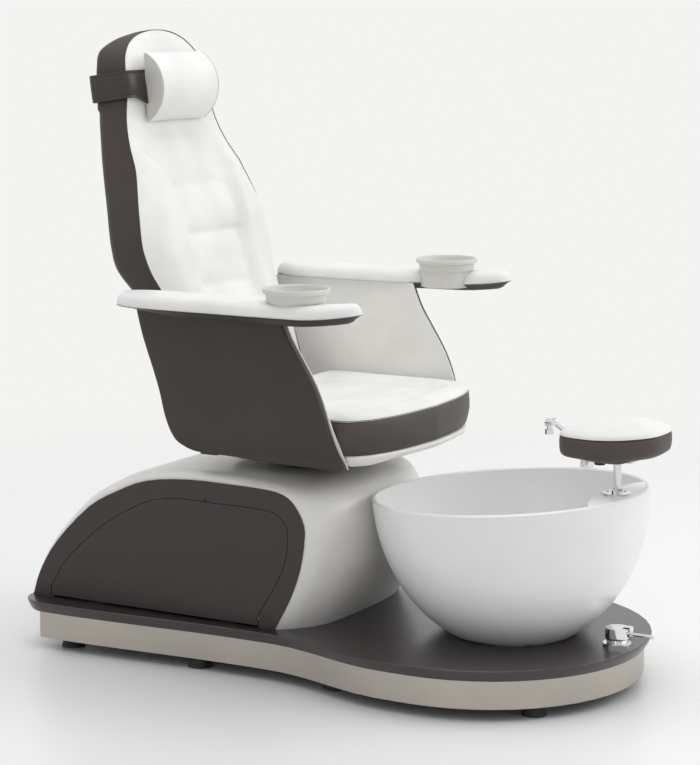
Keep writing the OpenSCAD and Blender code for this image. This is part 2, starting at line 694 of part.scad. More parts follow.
rest_z = shelf_z + post_h;
rest_ahead = 102;
rest_front = post_y + rest_ahead;
rest_y = rest_front - rest_len / 2;
rest_slope = 0.01;
rest_crown = 28;
rest_lift = 12;
bracket_t = 4;
hub_r = 15;
hub_h = 8;
socket_depth = 95;
knob_behind = 38;
knob_y = post_y - knob_behind;
knob_r = 14;
rest_shape = [[0, -1], [0.52, -0.92], [0.9, -0.56], [1, -0.12], [0.88, 0.3], [0.62, 0.72], [0.32, 0.95], [0, 1]];
rest_outline = let (right = [for (q = rest_shape) [q[0] * rest_half_w, q[1] * rest_len / 2 - rest_y]],
    left = [for (i = [6:-1:1]) [-right[i][0], right[i][1]]]) closed_curve(concat(right, left), 3);

// Footrest ring whose height follows the slope of the pad
function rest_level(p, z, share) = [for (q = p) [q[0], q[1], z - share * rest_slope * (q[1] + rest_y)]];

// Lower footrest ring that rises towards the front
function rest_under(p, z) = [for (q = p) [q[0], q[1], z + rest_lift * ease((-q[1] - rest_y) * 2 / rest_len)]];

module footrest_socket() {
    color(chrome) translate([0, -post_y, shelf_z]) difference() {
        union() {
            cylinder(r = 28, h = 3, $fn = 64);
            translate([0, 0, -socket_depth]) cylinder(r = socket_r, h = socket_depth + 12, $fn = 48);
        }
        translate([0, 0, 3 - socket_depth]) cylinder(r = post_r + run_gap, h = socket_depth + 20, $fn = 48);
    }
}

module footrest_post() {
    color(chrome) translate([0, -post_y, shelf_z - socket_depth + 8])
        cylinder(r = post_r, h = socket_depth - 8 + post_h - bracket_t - fit_gap, $fn = 48);
}

module footrest_bracket() {
    color(steel) difference() {
        union() {
            translate([-40, -post_y - 45, rest_z - bracket_t]) cube([80, 100, bracket_t]);
            translate([0, -post_y, rest_z - bracket_t - hub_h]) cylinder(r = hub_r, h = hub_h, $fn = 48);
        }
        translate([0, -post_y, rest_z - bracket_t - hub_h - eps]) cylinder(r = post_r + run_gap, h = hub_h + eps, $fn = 48);
        translate([0, -knob_y, rest_z - 2 * bracket_t]) cylinder(r = 3 + run_gap, h = 3 * bracket_t, $fn = 32);
    }
}

module clamp_knob() {
    color(black) translate([0, -knob_y, rest_z - bracket_t]) {
        translate([0, 0, -16]) cylinder(r1 = knob_r - 3, r2 = knob_r, h = 14, $fn = 32);
        translate([0, 0, -2]) cylinder(r = 3, h = 2 + bracket_t - fit_gap, $fn = 32);
    }
}

module footrest_base() {
    color(dark) loft([level(inset_loop(rest_outline, 16), rest_z), rest_under(inset_loop(rest_outline, 3), rest_z + 4),
        rest_under(rest_outline, rest_z + 12), rest_level(rest_outline, rest_z + rest_border, 1)]);
}

module footrest_top() {
    color(white) loft([for (k = [0:4]) let (a = 22.5 * k)
        rest_level(inset_loop(rest_outline, 40 * (1 - cos(a))), rest_z + rest_border + rest_crown * sin(a), 1)]);
}

// ---------- Spout, mixer and waste knob ----------

spout_gap = 18.5;
spout_x = bowl_r + spout_gap;
spout_y = 384;
spout_turn = 11;
spout_top_z = deck_z + 334;
spout_bore_r = 10;
spout_spigot = 30;
knuckle_r = 9;
fork_half = 8;
fork_t = 2;
fork_r = 5;
pivot_r = 2;
knuckle_half = fork_half - fork_t - fit_gap;
ball_z = deck_z + 408;
mixer_x = -6;
mixer_y = 592;
mixer_flange_r = 29;
mixer_seam = 0.5;
lever_r = 3.5;
lever_z = deck_z + mixer_h * 0.72;
waste_x = 60;
waste_y = 590;
waste_pin_r = 4;
deck_holes = [[mixer_x, -mixer_y, 19], [waste_x, -waste_y, waste_pin_r + run_gap], [spout_x, -spout_y, 7],
    [0, -bowl_y, drain_r + 7], [0, pump_y - pump_port_dy, hose_r + fit_gap], [0, pump_y + pump_port_dy, hose_r + fit_gap]];

module spout_column() {
    color(chrome) translate([spout_x, -spout_y, 0]) tube_z(spout_column_r, spout_bore_r + run_gap, deck_z, spout_top_z);
}

// Spout from its column to the ball of the nozzle, as [share of the reach, height above the column]
spout_curve = [[0, 6], [0.04, 20], [0.16, 30], [0.4, 39], [0.65, 50], [0.82, 63], [0.92, 70]];
socket_len = 11;

module spout_tube() {
    path = [for (q = open_curve(spout_curve, 2)) [-q[0] * spout_reach, 0, spout_top_z + q[1] * (ball_z - spout_top_z) / 70]];
    color(chrome) translate([spout_x, -spout_y, 0]) rotate([0, 0, -spout_turn]) {
        translate([0, 0, spout_top_z + run_gap]) cylinder(r = spout_column_r, h = 12, $fn = 48);
        translate([0, 0, spout_top_z - spout_spigot]) cylinder(r = spout_bore_r - run_gap, h = spout_spigot + 1, $fn = 48);
        tube_through(path, spout_r, [0, 1, 0], 20);
        translate([-spout_reach, 0, ball_z]) difference() {
            union() {
                translate([knuckle_r + fit_gap, 0, 0]) rotate([0, 90, 0]) cylinder(r = fork_half, h = socket_len, $fn = 48);
                for (s = [-1, 1]) translate([0, s * (fork_half - fork_t / 2), 0]) {
                    translate([0, fork_t / 2, 0]) rotate([90, 0, 0]) cylinder(r = fork_r, h = fork_t, $fn = 48);
                    translate([0, -fork_t / 2, -fork_r]) cube([knuckle_r + 2, fork_t, 2 * fork_r]);
                }
            }
            rotate([90, 0, 0]) cylinder(r = pivot_r + run_gap, h = 3 * fork_half, center = true, $fn = 32);
        }
    }
}

module spout_nozzle() {
    color(chrome) translate([spout_x, -spout_y, ball_z]) rotate([0, 0, -spout_turn]) translate([-spout_reach, 0, 0]) {
        rotate([90, 0, 0]) cylinder(r = knuckle_r, h = 2 * knuckle_half, center = true, $fn = 48);
        rotate([90, 0, 0]) cylinder(r = pivot_r, h = 2 * fork_half, center = true, $fn = 32);
        translate([0, 0, -14]) cylinder(r = 5, h = 10, $fn = 48);
        translate([0, 0, -24]) cylinder(r = 9.5, h = 11, $fn = 48);
    }
}

module mixer_body() {
    top = mixer_h * mixer_seam;
    color(chrome) translate([mixer_x, -mixer_y, deck_z]) difference() {
        union() {
            cylinder(r = mixer_flange_r, h = 6, $fn = 64);
            translate([0, 0, 6]) cylinder(r1 = mixer_r - 4, r2 = mixer_r, h = 10, $fn = 64);
            translate([0, 0, 16]) cylinder(r = mixer_r, h = top - 16, $fn = 64);
        }
        translate([0, 0, top - 12]) cylinder(r = 8 + run_gap, h = 20, $fn = 48);
    }
}

// The cap turns on a spigot and is slotted for the lever, which lifts about a cross pin
slot_w = 11;
module mixer_cap() {
    top = mixer_h * mixer_seam;
    color(chrome) translate([mixer_x, -mixer_y, deck_z]) difference() {
        union() {
            translate([0, 0, top]) cylinder(r = mixer_r, h = mixer_h - top, $fn = 64);
            translate([0, 0, top - 10]) cylinder(r = 8, h = 10, $fn = 48);
        }
        translate([-slot_w / 2, -mixer_r - eps, top + 1]) cube([slot_w, mixer_r + 9, mixer_h - top - 3]);
        translate([-slot_w / 2, -mixer_r - eps, top + 1]) cube([slot_w, 14, mixer_h]);
    }
    color(steel) rod([mixer_x - slot_w / 2 - 3, -mixer_y, lever_z], [mixer_x + slot_w / 2 + 3, -mixer_y, lever_z], 1.5);
}

module mixer_lever() {
    color(chrome) translate([mixer_x, -mixer_y, lever_z]) difference() {
        union() {
            rotate([90, 0, 0]) cylinder(r = lever_r, h = mixer_r + lever_len, $fn = 32);
            rotate([0, 90, 0]) translate([0, 0, -4]) cylinder(r = lever_r, h = 8, $fn = 32);
        }
        rotate([0, 90, 0]) translate([0, 0, -10]) cylinder(r = 1.5 + run_gap, h = 20, $fn = 32);
    }
}

module waste_knob() {
    color(chrome) translate([waste_x, -waste_y, 0]) {
        translate([0, 0, deck_z]) cylinder(r = 9, h = 4, $fn = 48);
        translate([0, 0, deck_z + 4]) cylinder(r = 5, h = 8, $fn = 48);
        translate([0, 0, deck_z + 12]) cylinder(r = 9, h = 10, $fn = 48);
        translate([0, 0, slab_z - 12]) cylinder(r = waste_pin_r, h = slab_t + 12, $fn = 48);
    }
}

module fixings() {
    color(steel) {
        for (k = [1:base_bolts]) translate([0, swivel_y, 0]) rotate([0, 0, 360 * k / base_bolts])
            translate([base_bolt_pcd, 0, deck_z + column_base_t]) cylinder(r = 9, h = 6, $fn = 6);
        for (k = [0:2]) translate([0, -post_y, shelf_z + 3]) rotate([0, 0, 90 + 120 * k])
            translate([20, 0, 0]) cylinder(r = 3, h = 1.2, $fn = 24);
    }
}

// ---------- Seat ----------

liner_out = wall_out - wall_t;
liner_in = liner_out - liner_t;
cushion_gap = 12;
tuck_h = 110;
seat_rear = 232;
pan_rear = 240;
pan_lip = 5;
frame_half = 150;
frame_rail_ys = [10, 230];
frame_rail_w = 40;
front_curve = [[1, -0.45], [0.995, -0.6], [0.92, -0.715], [0.77, -0.835], [0.45, -0.945], [0, -1]];
front_reach = 177;

// How far the side walls lie inwards of their upper part, at height z
function tuck(z) = wall_tuck * pow(clamp01(1 - (z - seat_z) / tuck_h), 2);

// The seat's front edge from side to side, and its whole outline with half width w
seat_half = open_curve(front_curve, 3);
seat_front = concat([for (q = seat_half) [-q[0], q[1]]], [for (i = [len(seat_half) - 2:-1:0]) seat_half[i]]);
function seat_loop(rear, w, reach) = concat([for (q = seat_front) [q[0] * w, q[1] * reach]], [[w, rear], [-w, rear]]);
function cushion_loop(z) = seat_loop(seat_rear, liner_in - max(cushion_gap, tuck(z) + fit_gap + 2), front_reach);

// Side wall edge as [y, share of the height up to the armrest's seam], from the rear top down and forward up
wall_shape = concat(open_curve([[379, 1], [371, 0.89], [362, 0.78], [347, 0.642], [331, 0.505], [318, 0.367], [309, 0.21],
    [303, 0.12], [294, 0.055], [277, 0.004], [252, -0.019], [217, -0.0235]], 3), open_curve([[30, -0.045], [-56, -0.046],
    [-104, -0.035], [-98, 0.003], [-92, 0.069], [-85.5, 0.168], [-77, 0.3], [-64, 0.432], [-45, 0.56], [-19, 0.695],
    [8, 0.84], [28, 1]], 2));
wall_outline = [for (q = wall_shape) [q[0], seat_z + q[1] * (arm_seam_z - seat_z)]];
wall_zs = concat([frame_z - 10], [for (k = [0:10]) seat_z + tuck_h * k / 10], [arm_seam_z + eps]);

// Layer of a side wall between two depths from its outer face
module wall_layer(d0, d1) {
    intersection() {
        yz_prism(wall_outline, 0, wall_out);
        translate([0, 400, 0]) rotate([90, 0, 0]) linear_extrude(600) polygon(concat(
            [for (z = wall_zs) [wall_out - d0 - tuck(z), z]], [for (z = reversed(wall_zs)) [wall_out - d1 - tuck(z), z]]));
    }
}

module seat_frame() {
    reach = liner_in - wall_tuck - fit_gap;
    color(black) translate([0, 0, frame_z]) {
        translate([-frame_half, swivel_y - frame_half, 0]) cube([2 * frame_half, 2 * frame_half, frame_t]);
        for (y = frame_rail_ys) for (s = [-1, 1]) translate([s > 0 ? frame_half : -reach, y - frame_rail_w / 2, 0])
            cube([reach - frame_half, frame_rail_w, frame_t]);
    }
}

bracket_x = 221;
bracket_w = 10;
bracket_half = 18;
hinge_y = 287;
hinge_z = back_z + 22;

module seat_pan() {
    w = liner_in - wall_tuck - fit_gap;
    color(white) translate([0, 0, seat_z]) {
        linear_extrude(pan_t) polygon(seat_loop(pan_rear, w, front_reach + pan_lip));
        for (s = [-1, 1]) translate([s > 0 ? bracket_x : -bracket_x - bracket_w, pan_rear - eps, 0])
            cube([bracket_w, hinge_y + bracket_half - pan_rear + eps, pan_t]);
    }
}

module side_wall() {
    color(dark) wall_layer(0, wall_t);
}

module side_liner() {
    color(white) wall_layer(wall_t, wall_t + liner_t);
}

module cushion_base() {
    color(dark) loft([level(inset_loop(cushion_loop(cushion_z), 6), cushion_z), for (f = [0.12, 0.4, 1])
        let (z = cushion_z + f * border_h) level(cushion_loop(z), z)]);
}

module cushion_top() {
    color(white) loft([for (a = [0:22.5:90]) level(inset_loop(cushion_loop(cushion_top_z), 60 * (1 - cos(a))),
        cushion_top_z + cushion_crown * sin(a))]);
}

// ---------- Armrests and manicure bowls ----------

// Armrest outline on the left, counter-clockwise from its rear end
arm_shape = [[316, 396], [286, 376], [267, 325], [264, 200], [266, 70], [278, 34], [298, 4], [305, -50], [300, -100],
    [300, -148], [312, -174], [336, -183], [362, -166], [383, -120], [389, -50], [390, 100], [387, 300], [362, 368]];
arm_outline = closed_curve(arm_shape, 2);
arm_roll = 18;
arm_under = 26;
tip_start = -70;
tip_rise = 11;

// Armrest ring whose height rises by a share of tip_rise towards the front tip
function arm_ring(d, z, share) = [for (q = inset_loop(arm_outline, d))
    [q[0], q[1], z + share * tip_rise * pow(clamp01((tip_start - q[1]) / 113), 1.5)]];

module ring_pocket() {
    translate([cup_x, -cup_y, ring_z]) cylinder(r = ring_r + fit_gap, h = 3 * ring_drop, $fn = 96);
}

module arm_base() {
    color(dark) difference() {
        loft([arm_ring(arm_under, arm_z, 1.2), arm_ring(arm_under * 0.4, arm_z + arm_base_t * 0.4, 1.1),
            arm_ring(1, arm_seam_z, 1)]);
        yz_prism(wall_outline, 0, wall_out);
        translate([0, -20, arm_z - eps]) cube([wall_out, 50, arm_base_t + 2 * eps]);
        ring_pocket();
    }
}

module arm_pad() {
    color(white) difference() {
        loft([for (a = [0:22.5:90]) arm_ring(arm_roll * (1 - cos(a)), arm_seam_z + arm_pad_t * sin(a), 1 - sin(a))]);
        ring_pocket();
    }
}

ring_wall = 5;
ring_drop = 32;
ring_lip = 3;
cup_wall = 3;
ring_z = arm_top_z - ring_drop;
ring_top_z = arm_top_z + ring_lip;

module cup_rings() {
    color(grey) both_sides() translate([cup_x, -cup_y, ring_z]) difference() {
        cylinder(r = ring_r, h = ring_drop + ring_lip, $fn = 96);
        translate([0, 0, 4]) cylinder(r = ring_r - ring_wall, h = ring_drop + ring_lip, $fn = 96);
    }
}

module manicure_bowl() {
    body_r = ring_r - ring_wall - fit_gap;
    low = ring_z + 4 + fit_gap - ring_top_z;
    color(grey) translate([cup_x, -cup_y, ring_top_z]) rotate_extrude($fn = 96) polygon([[0, low], [body_r - 5, low],
        [body_r, low + 5], [body_r, 0], [ring_r, 0], [ring_r + 0.5, 3], [cup_rim_r - 2, cup_rise * 0.66],
        [cup_rim_r, cup_rise * 0.78], [cup_rim_r, cup_rise], [cup_rim_r - cup_wall, cup_rise],
        [cup_rim_r - cup_wall - 3, cup_rise * 0.62], [body_r - cup_wall, 0], [body_r - cup_wall, low + 7],
        [body_r - cup_wall - 5, low + cup_wall], [0, low + cup_wall]]);
}

// ---------- Recline hinge and backrest ----------

hub_out_r = 14;
hub_half = 180;

module recline_brackets() {
    color(steel) both_sides() difference() {
        union() {
            translate([bracket_x, hinge_y - bracket_half, cushion_z]) cube([bracket_w, 2 * bracket_half, hinge_z - cushion_z]);
            translate([bracket_x, hinge_y, hinge_z]) rotate([0, 90, 0]) cylinder(r = bracket_half, h = bracket_w, $fn = 64);
        }
        translate([bracket_x - eps, hinge_y, hinge_z]) rotate([0, 90, 0])
            cylinder(r = hinge_r + run_gap, h = bracket_w + 2 * eps, $fn = 48);
    }
}

module recline_shaft() {
    half = bracket_x + bracket_w + 4;
    color(steel) translate([-half, hinge_y, hinge_z]) rotate([0, 90, 0]) cylinder(r = hinge_r, h = 2 * half, $fn = 48);
}

// Backrest rows: share of the height, half width, seam y, rear y, share of the crown
back_rows = [[0, 215, 262, 312, 0.53], [0.085, 220, 272, 325, 0.7], [0.17, 222, 290, 343, 0.88], [0.27, 226, 320, 378, 1],
    [0.35, 221, 350, 438, 1], [0.41, 238, 372, 471, 1], [0.47, 248, 385, 479, 1], [0.56, 233, 404, 498, 1],
    [0.655, 204, 430, 527, 0.7], [0.72, 184, 459, 545, 0.09], [0.78, 169, 476, 558.5, 0.2], [0.86, 155, 482, 568, 0.32],
    [0.91, 144, 491, 573, 0.4], [0.95, 127, 502, 577, 0.4], [0.98, 101, 510, 556, 0.3], [1, 55, 514, 530, 0.12]];
back_levels = [0, 0.04, 0.085, 0.13, 0.17, 0.22, 0.27, 0.31, 0.35, 0.38, 0.41, 0.44, 0.47, 0.51, 0.56, 0.61, 0.655, 0.69,
    0.72, 0.75, 0.78, 0.82, 0.86, 0.89, 0.92, 0.945, 0.965, 0.985, 1];

function back_shell_ring(s) = let (r = row_at(back_rows, s), w = r[1], c = min(s > 0.8 ? 16 : 26, (r[3] - r[2]) * 0.6))
    [for (q = concat([[-w, r[2]], [w, r[2]]], [for (a = [0:30:90]) [w - c + c * cos(a), r[3] - c + c * sin(a)]],
        [for (a = [90:30:180]) [-w + c + c * cos(a), r[3] - c + c * sin(a)]])) [q[0], q[1], back_z + s * back_h]];
function back_cushion_ring(s) = let (r = row_at(back_rows, s), w = r[1])
    [for (a = [180:15:360]) [w * cos(a), r[2] - r[4] * back_crown * pow(abs(sin(a)), 0.6), back_z + s * back_h]];

frame_span = [0.03, 0.9];
frame_half_w = 105;
frame_plate_t = 10;
frame_steps = [for (k = [0:12]) mix(frame_span[0], frame_span[1], k / 12)];
function frame_mid(s) = let (r = row_at(back_rows, s)) mix(r[2], r[3], 0.5);
function frame_band(d) = concat([for (s = frame_steps) [frame_mid(s) + frame_plate_t / 2 + d, back_z + s * back_h]],
    [for (s = reversed(frame_steps)) [frame_mid(s) - frame_plate_t / 2 - d, back_z + s * back_h]]);

module along_hinge(r, half) {
    translate([-half, hinge_y, hinge_z]) rotate([0, 90, 0]) cylinder(r = r, h = 2 * half, $fn = 64);
}

module back_frame() {
    color(steel) difference() {
        union() {
            yz_prism(frame_band(0), -frame_half_w, frame_half_w);
            along_hinge(hub_out_r, hub_half);
        }
        along_hinge(hinge_r + run_gap, hub_half + eps);
    }
}

module back_shell() {
    color(dark) difference() {
        loft([for (s = back_levels) back_shell_ring(s)]);
        yz_prism(frame_band(fit_gap), -frame_half_w - fit_gap, frame_half_w + fit_gap);
        along_hinge(hub_out_r + fit_gap, hub_half + fit_gap);
        along_hinge(hinge_r + fit_gap, bracket_x);
    }
}

module back_cushion() {
    color(white) loft([for (s = back_levels) back_cushion_ring(s)]);
}

// ---------- Headrest ----------

roll_y = 467;
roll_z = back_z + 723;
roll_lean = 8;
roll_tip = 5;
strap_t = 3;
strap_half_w = 167;
strap_reach = 101.3;
strap_rise = 8;
strap_corner = 12;
strap_flare = 7;

// The roll stands against the head zone, which leans back
module on_head() {
    translate([0, roll_y, roll_z]) rotate([-roll_lean, 0, 0]) children();
}

module headrest_roll() {
    radius = (pow(roll_h / 2, 2) + pow(roll_d, 2)) / (2 * roll_d);
    color(white) on_head() rotate([roll_tip, 0, 0]) translate([-roll_half_w, 0, 0]) rotate([0, 90, 0]) intersection() {
        translate([0, radius - roll_d, 0]) cylinder(r = radius, h = 2 * roll_half_w, $fn = 96);
        translate([-roll_h / 2, -roll_d - eps, 0]) cube([roll_h, roll_d + eps, 2 * roll_half_w]);
    }
}

// Half of the strap's path, from the roll's end cap round to the middle of the back, moved outwards by d
function strap_path(d) = [[roll_half_w, -d], [strap_half_w + d, strap_flare - d], [strap_half_w + d, strap_reach - strap_corner],
    [strap_half_w - strap_corner + d, strap_reach + d - 2], [strap_half_w - 2 * strap_corner, strap_reach + d],
    [0, strap_reach + d]];

module headrest_strap() {
    color(dark) on_head() translate([0, 0, strap_rise - strap_h / 2]) linear_extrude(strap_h) polygon(concat(strap_path(strap_t),
        mirrored(strap_path(strap_t)), reversed(mirrored(strap_path(0))), reversed(strap_path(0))));
}

module right() { mirror([1, 0, 0]) children(); }

platform_top();
platform_skirt();
base_rails();
base_cross_members();
levelling_feet();
pedestal_shell();
right() side_panel();  // side_panel_right
side_panel();  // side_panel_left
door_hardware();
swivel_column();
swivel_bearing();
control_box();
drain_pump();
drain_hose();
supply_hoses();
rear_connectors();
power_inlet();
foot_bowl();
bowl_drain();
footrest_socket();
spout_column();
mixer_body();
fixings();
swivel_shaft();
swivel_disc();
seat_frame();
seat_pan();
right() side_wall();  // side_wall_right
side_wall();  // side_wall_left
right() side_liner();  // side_liner_right
side_liner();  // side_liner_left
right() arm_base();  // armrest_base_right
arm_base();  // armrest_base_left
right() arm_pad();  // armrest_pad_right
arm_pad();  // armrest_pad_left
cup_rings();
cushion_base();
cushion_top();
recline_brackets();
recline_shaft();
back_frame();
back_shell();
back_cushion();
headrest_roll();
headrest_strap();
right() door();  // door_right
door();  // door_left
right() manicure_bowl();  // manicure_bowl_right
manicure_bowl();  // manicure_bowl_left
footrest_post();
footrest_bracket();
footrest_base();
footrest_top();
clamp_knob();
spout_tube();
spout_nozzle();
mixer_cap();
mixer_lever();
waste_plug();
waste_knob();
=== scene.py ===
"""Looks of the pedicure spa chair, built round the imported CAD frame. Tables are in millimetres."""
import json
import math

import bmesh
import bpy
import numpy as np
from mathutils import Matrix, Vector, noise


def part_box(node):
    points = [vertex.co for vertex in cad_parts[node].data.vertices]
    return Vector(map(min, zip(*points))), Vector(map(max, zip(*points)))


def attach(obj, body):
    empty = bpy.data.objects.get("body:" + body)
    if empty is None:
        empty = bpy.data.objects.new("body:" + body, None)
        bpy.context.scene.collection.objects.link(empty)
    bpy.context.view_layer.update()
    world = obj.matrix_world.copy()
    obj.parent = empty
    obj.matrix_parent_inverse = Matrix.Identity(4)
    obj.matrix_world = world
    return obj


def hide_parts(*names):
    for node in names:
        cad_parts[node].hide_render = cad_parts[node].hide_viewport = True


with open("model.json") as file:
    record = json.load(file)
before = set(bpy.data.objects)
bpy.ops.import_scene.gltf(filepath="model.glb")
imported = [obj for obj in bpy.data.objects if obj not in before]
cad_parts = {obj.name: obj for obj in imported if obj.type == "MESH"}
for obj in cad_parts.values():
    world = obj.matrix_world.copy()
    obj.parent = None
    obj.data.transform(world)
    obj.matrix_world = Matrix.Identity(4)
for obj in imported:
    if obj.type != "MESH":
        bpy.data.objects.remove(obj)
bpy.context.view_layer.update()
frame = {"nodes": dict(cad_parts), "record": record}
MM = 0.001

# ---------- Camera, light and stage ----------

CAMERA_PLACE = Vector((-4.238, -2.372, 1.370))
CAMERA_AIM = Vector((0.8591, 0.4869, -0.15775))
CAMERA_LENS = 109.83
FLOOR_SIZE = 24.0
FLOOR_FADE = (1.3, 3.4)
# The part of the sky, along x, over which the ambient light falls off
SHADE_FROM = -0.9
SHADE_TO = 0.5


def add_camera():
    data = bpy.data.cameras.new("camera")
    data.lens = CAMERA_LENS
    data.sensor_width = 36
    camera = bpy.data.objects.new("camera", data)
    bpy.context.scene.collection.objects.link(camera)
    camera.location = CAMERA_PLACE
    camera.rotation_euler = CAMERA_AIM.to_track_quat("-Z", "Y").to_euler()
    bpy.context.scene.camera = camera


def add_lamp(name, place, aim, size, watts, colour=(1, 1, 1)):
    data = bpy.data.lights.new(name, "AREA")
    data.shape = "RECTANGLE"
    data.size, data.size_y = size
    data.energy = watts
    data.color = colour
    lamp = bpy.data.objects.new(name, data)
    bpy.context.scene.collection.objects.link(lamp)
    lamp.location = place
    lamp.rotation_euler = (Vector(aim) - Vector(place)).to_track_quat("-Z", "Y").to_euler()


def seen_rays(tree):
    """1 for the rays that see the background: camera, glossy and transmission."""
    path = tree.nodes.new("ShaderNodeLightPath")
    total = path.outputs["Is Camera Ray"]
    for name in ("Is Glossy Ray", "Is Transmission Ray"):
        add = tree.nodes.new("ShaderNodeMath")
        add.operation = "MAXIMUM"
        tree.links.new(total, add.inputs[0])
        tree.links.new(path.outputs[name], add.inputs[1])
        total = add.outputs[0]
    return total


def add_world(ambient, shade, backdrop):
    """Ambient light that falls to a share of itself towards -x, behind a plain backdrop."""
    world = bpy.data.worlds.new("studio")
    bpy.context.scene.world = world
    world.use_nodes = True
    tree = world.node_tree
    tree.nodes.clear()
    out = tree.nodes.new("ShaderNodeOutputWorld")
    mix = tree.nodes.new("ShaderNodeMixShader")
    dim = tree.nodes.new("ShaderNodeBackground")
    dim.inputs["Color"].default_value = (0.97, 0.98, 1.0, 1)
    coords = tree.nodes.new("ShaderNodeTexCoord")
    axes = tree.nodes.new("ShaderNodeSeparateXYZ")
    tree.links.new(coords.outputs["Generated"], axes.inputs[0])
    level = tree.nodes.new("ShaderNodeMapRange")
    level.interpolation_type = "SMOOTHSTEP"
    ranges = {"From Min": SHADE_FROM, "From Max": SHADE_TO, "To Min": ambient * shade, "To Max": ambient}
    for key, value in ranges.items():
        level.inputs[key].default_value = value
    tree.links.new(axes.outputs["X"], level.inputs["Value"])
    tree.links.new(level.outputs[0], dim.inputs["Strength"])
    bright = tree.nodes.new("ShaderNodeBackground")
    bright.inputs["Color"].default_value = (*backdrop, 1)
    tree.links.new(seen_rays(tree), mix.inputs[0])
    tree.links.new(dim.outputs[0], mix.inputs[1])
    tree.links.new(bright.outputs[0], mix.inputs[2])
    tree.links.new(mix.outputs[0], out.inputs[0])


def add_floor(backdrop):
    """Pale floor that keeps the shadow near the chair and fades to the backdrop further out."""
    mesh = bpy.data.meshes.new("floor")
    half = FLOOR_SIZE / 2
    corners = [(-half, -half, 0), (half, -half, 0), (half, half, 0), (-half, half, 0)]
    mesh.from_pydata(corners, [], [(0, 1, 2, 3)])
    floor = bpy.data.objects.new("floor", mesh)
    bpy.context.scene.collection.objects.link(floor)
    mat = bpy.data.materials.new("floor_paint")
    mat.use_nodes = True
    tree = mat.node_tree
    bsdf = tree.nodes["Principled BSDF"]
    bsdf.inputs["Base Color"].default_value = (0.90, 0.90, 0.895, 1)
    bsdf.inputs["Roughness"].default_value = 0.35
    coords = tree.nodes.new("ShaderNodeTexCoord")
    length = tree.nodes.new("ShaderNodeVectorMath")
    length.operation = "LENGTH"
    tree.links.new(coords.outputs["Object"], length.inputs[0])
    fade = tree.nodes.new("ShaderNodeMapRange")
    fade.interpolation_type = "SMOOTHSTEP"
    fade.inputs["From Min"].default_value, fade.inputs["From Max"].default_value = FLOOR_FADE
    tree.links.new(length.outputs["Value"], fade.inputs["Value"])
    both = tree.nodes.new("ShaderNodeMath")
    both.operation = "MULTIPLY"
    tree.links.new(fade.outputs[0], both.inputs[0])
    tree.links.new(seen_rays(tree), both.inputs[1])
    glow = tree.nodes.new("ShaderNodeEmission")
    glow.inputs["Color"].default_value = (*backdrop, 1)
    mix = tree.nodes.new("ShaderNodeMixShader")
    tree.links.new(both.outputs[0], mix.inputs[0])
    tree.links.new(bsdf.outputs[0], mix.inputs[1])
    tree.links.new(glow.outputs[0], mix.inputs[2])
    tree.links.new(mix.outputs[0], tree.nodes["Material Output"].inputs["Surface"])
    mesh.materials.append(mat)


# ---------- Materials ----------


def srgb(r, g, b):
    """Linear colour of an 8-bit sRGB colour."""
    shares = (r / 255, g / 255, b / 255)
    return tuple(c / 12.92 if c <= 0.04045 else ((c + 0.055) / 1.055) ** 2.4 for c in shares)


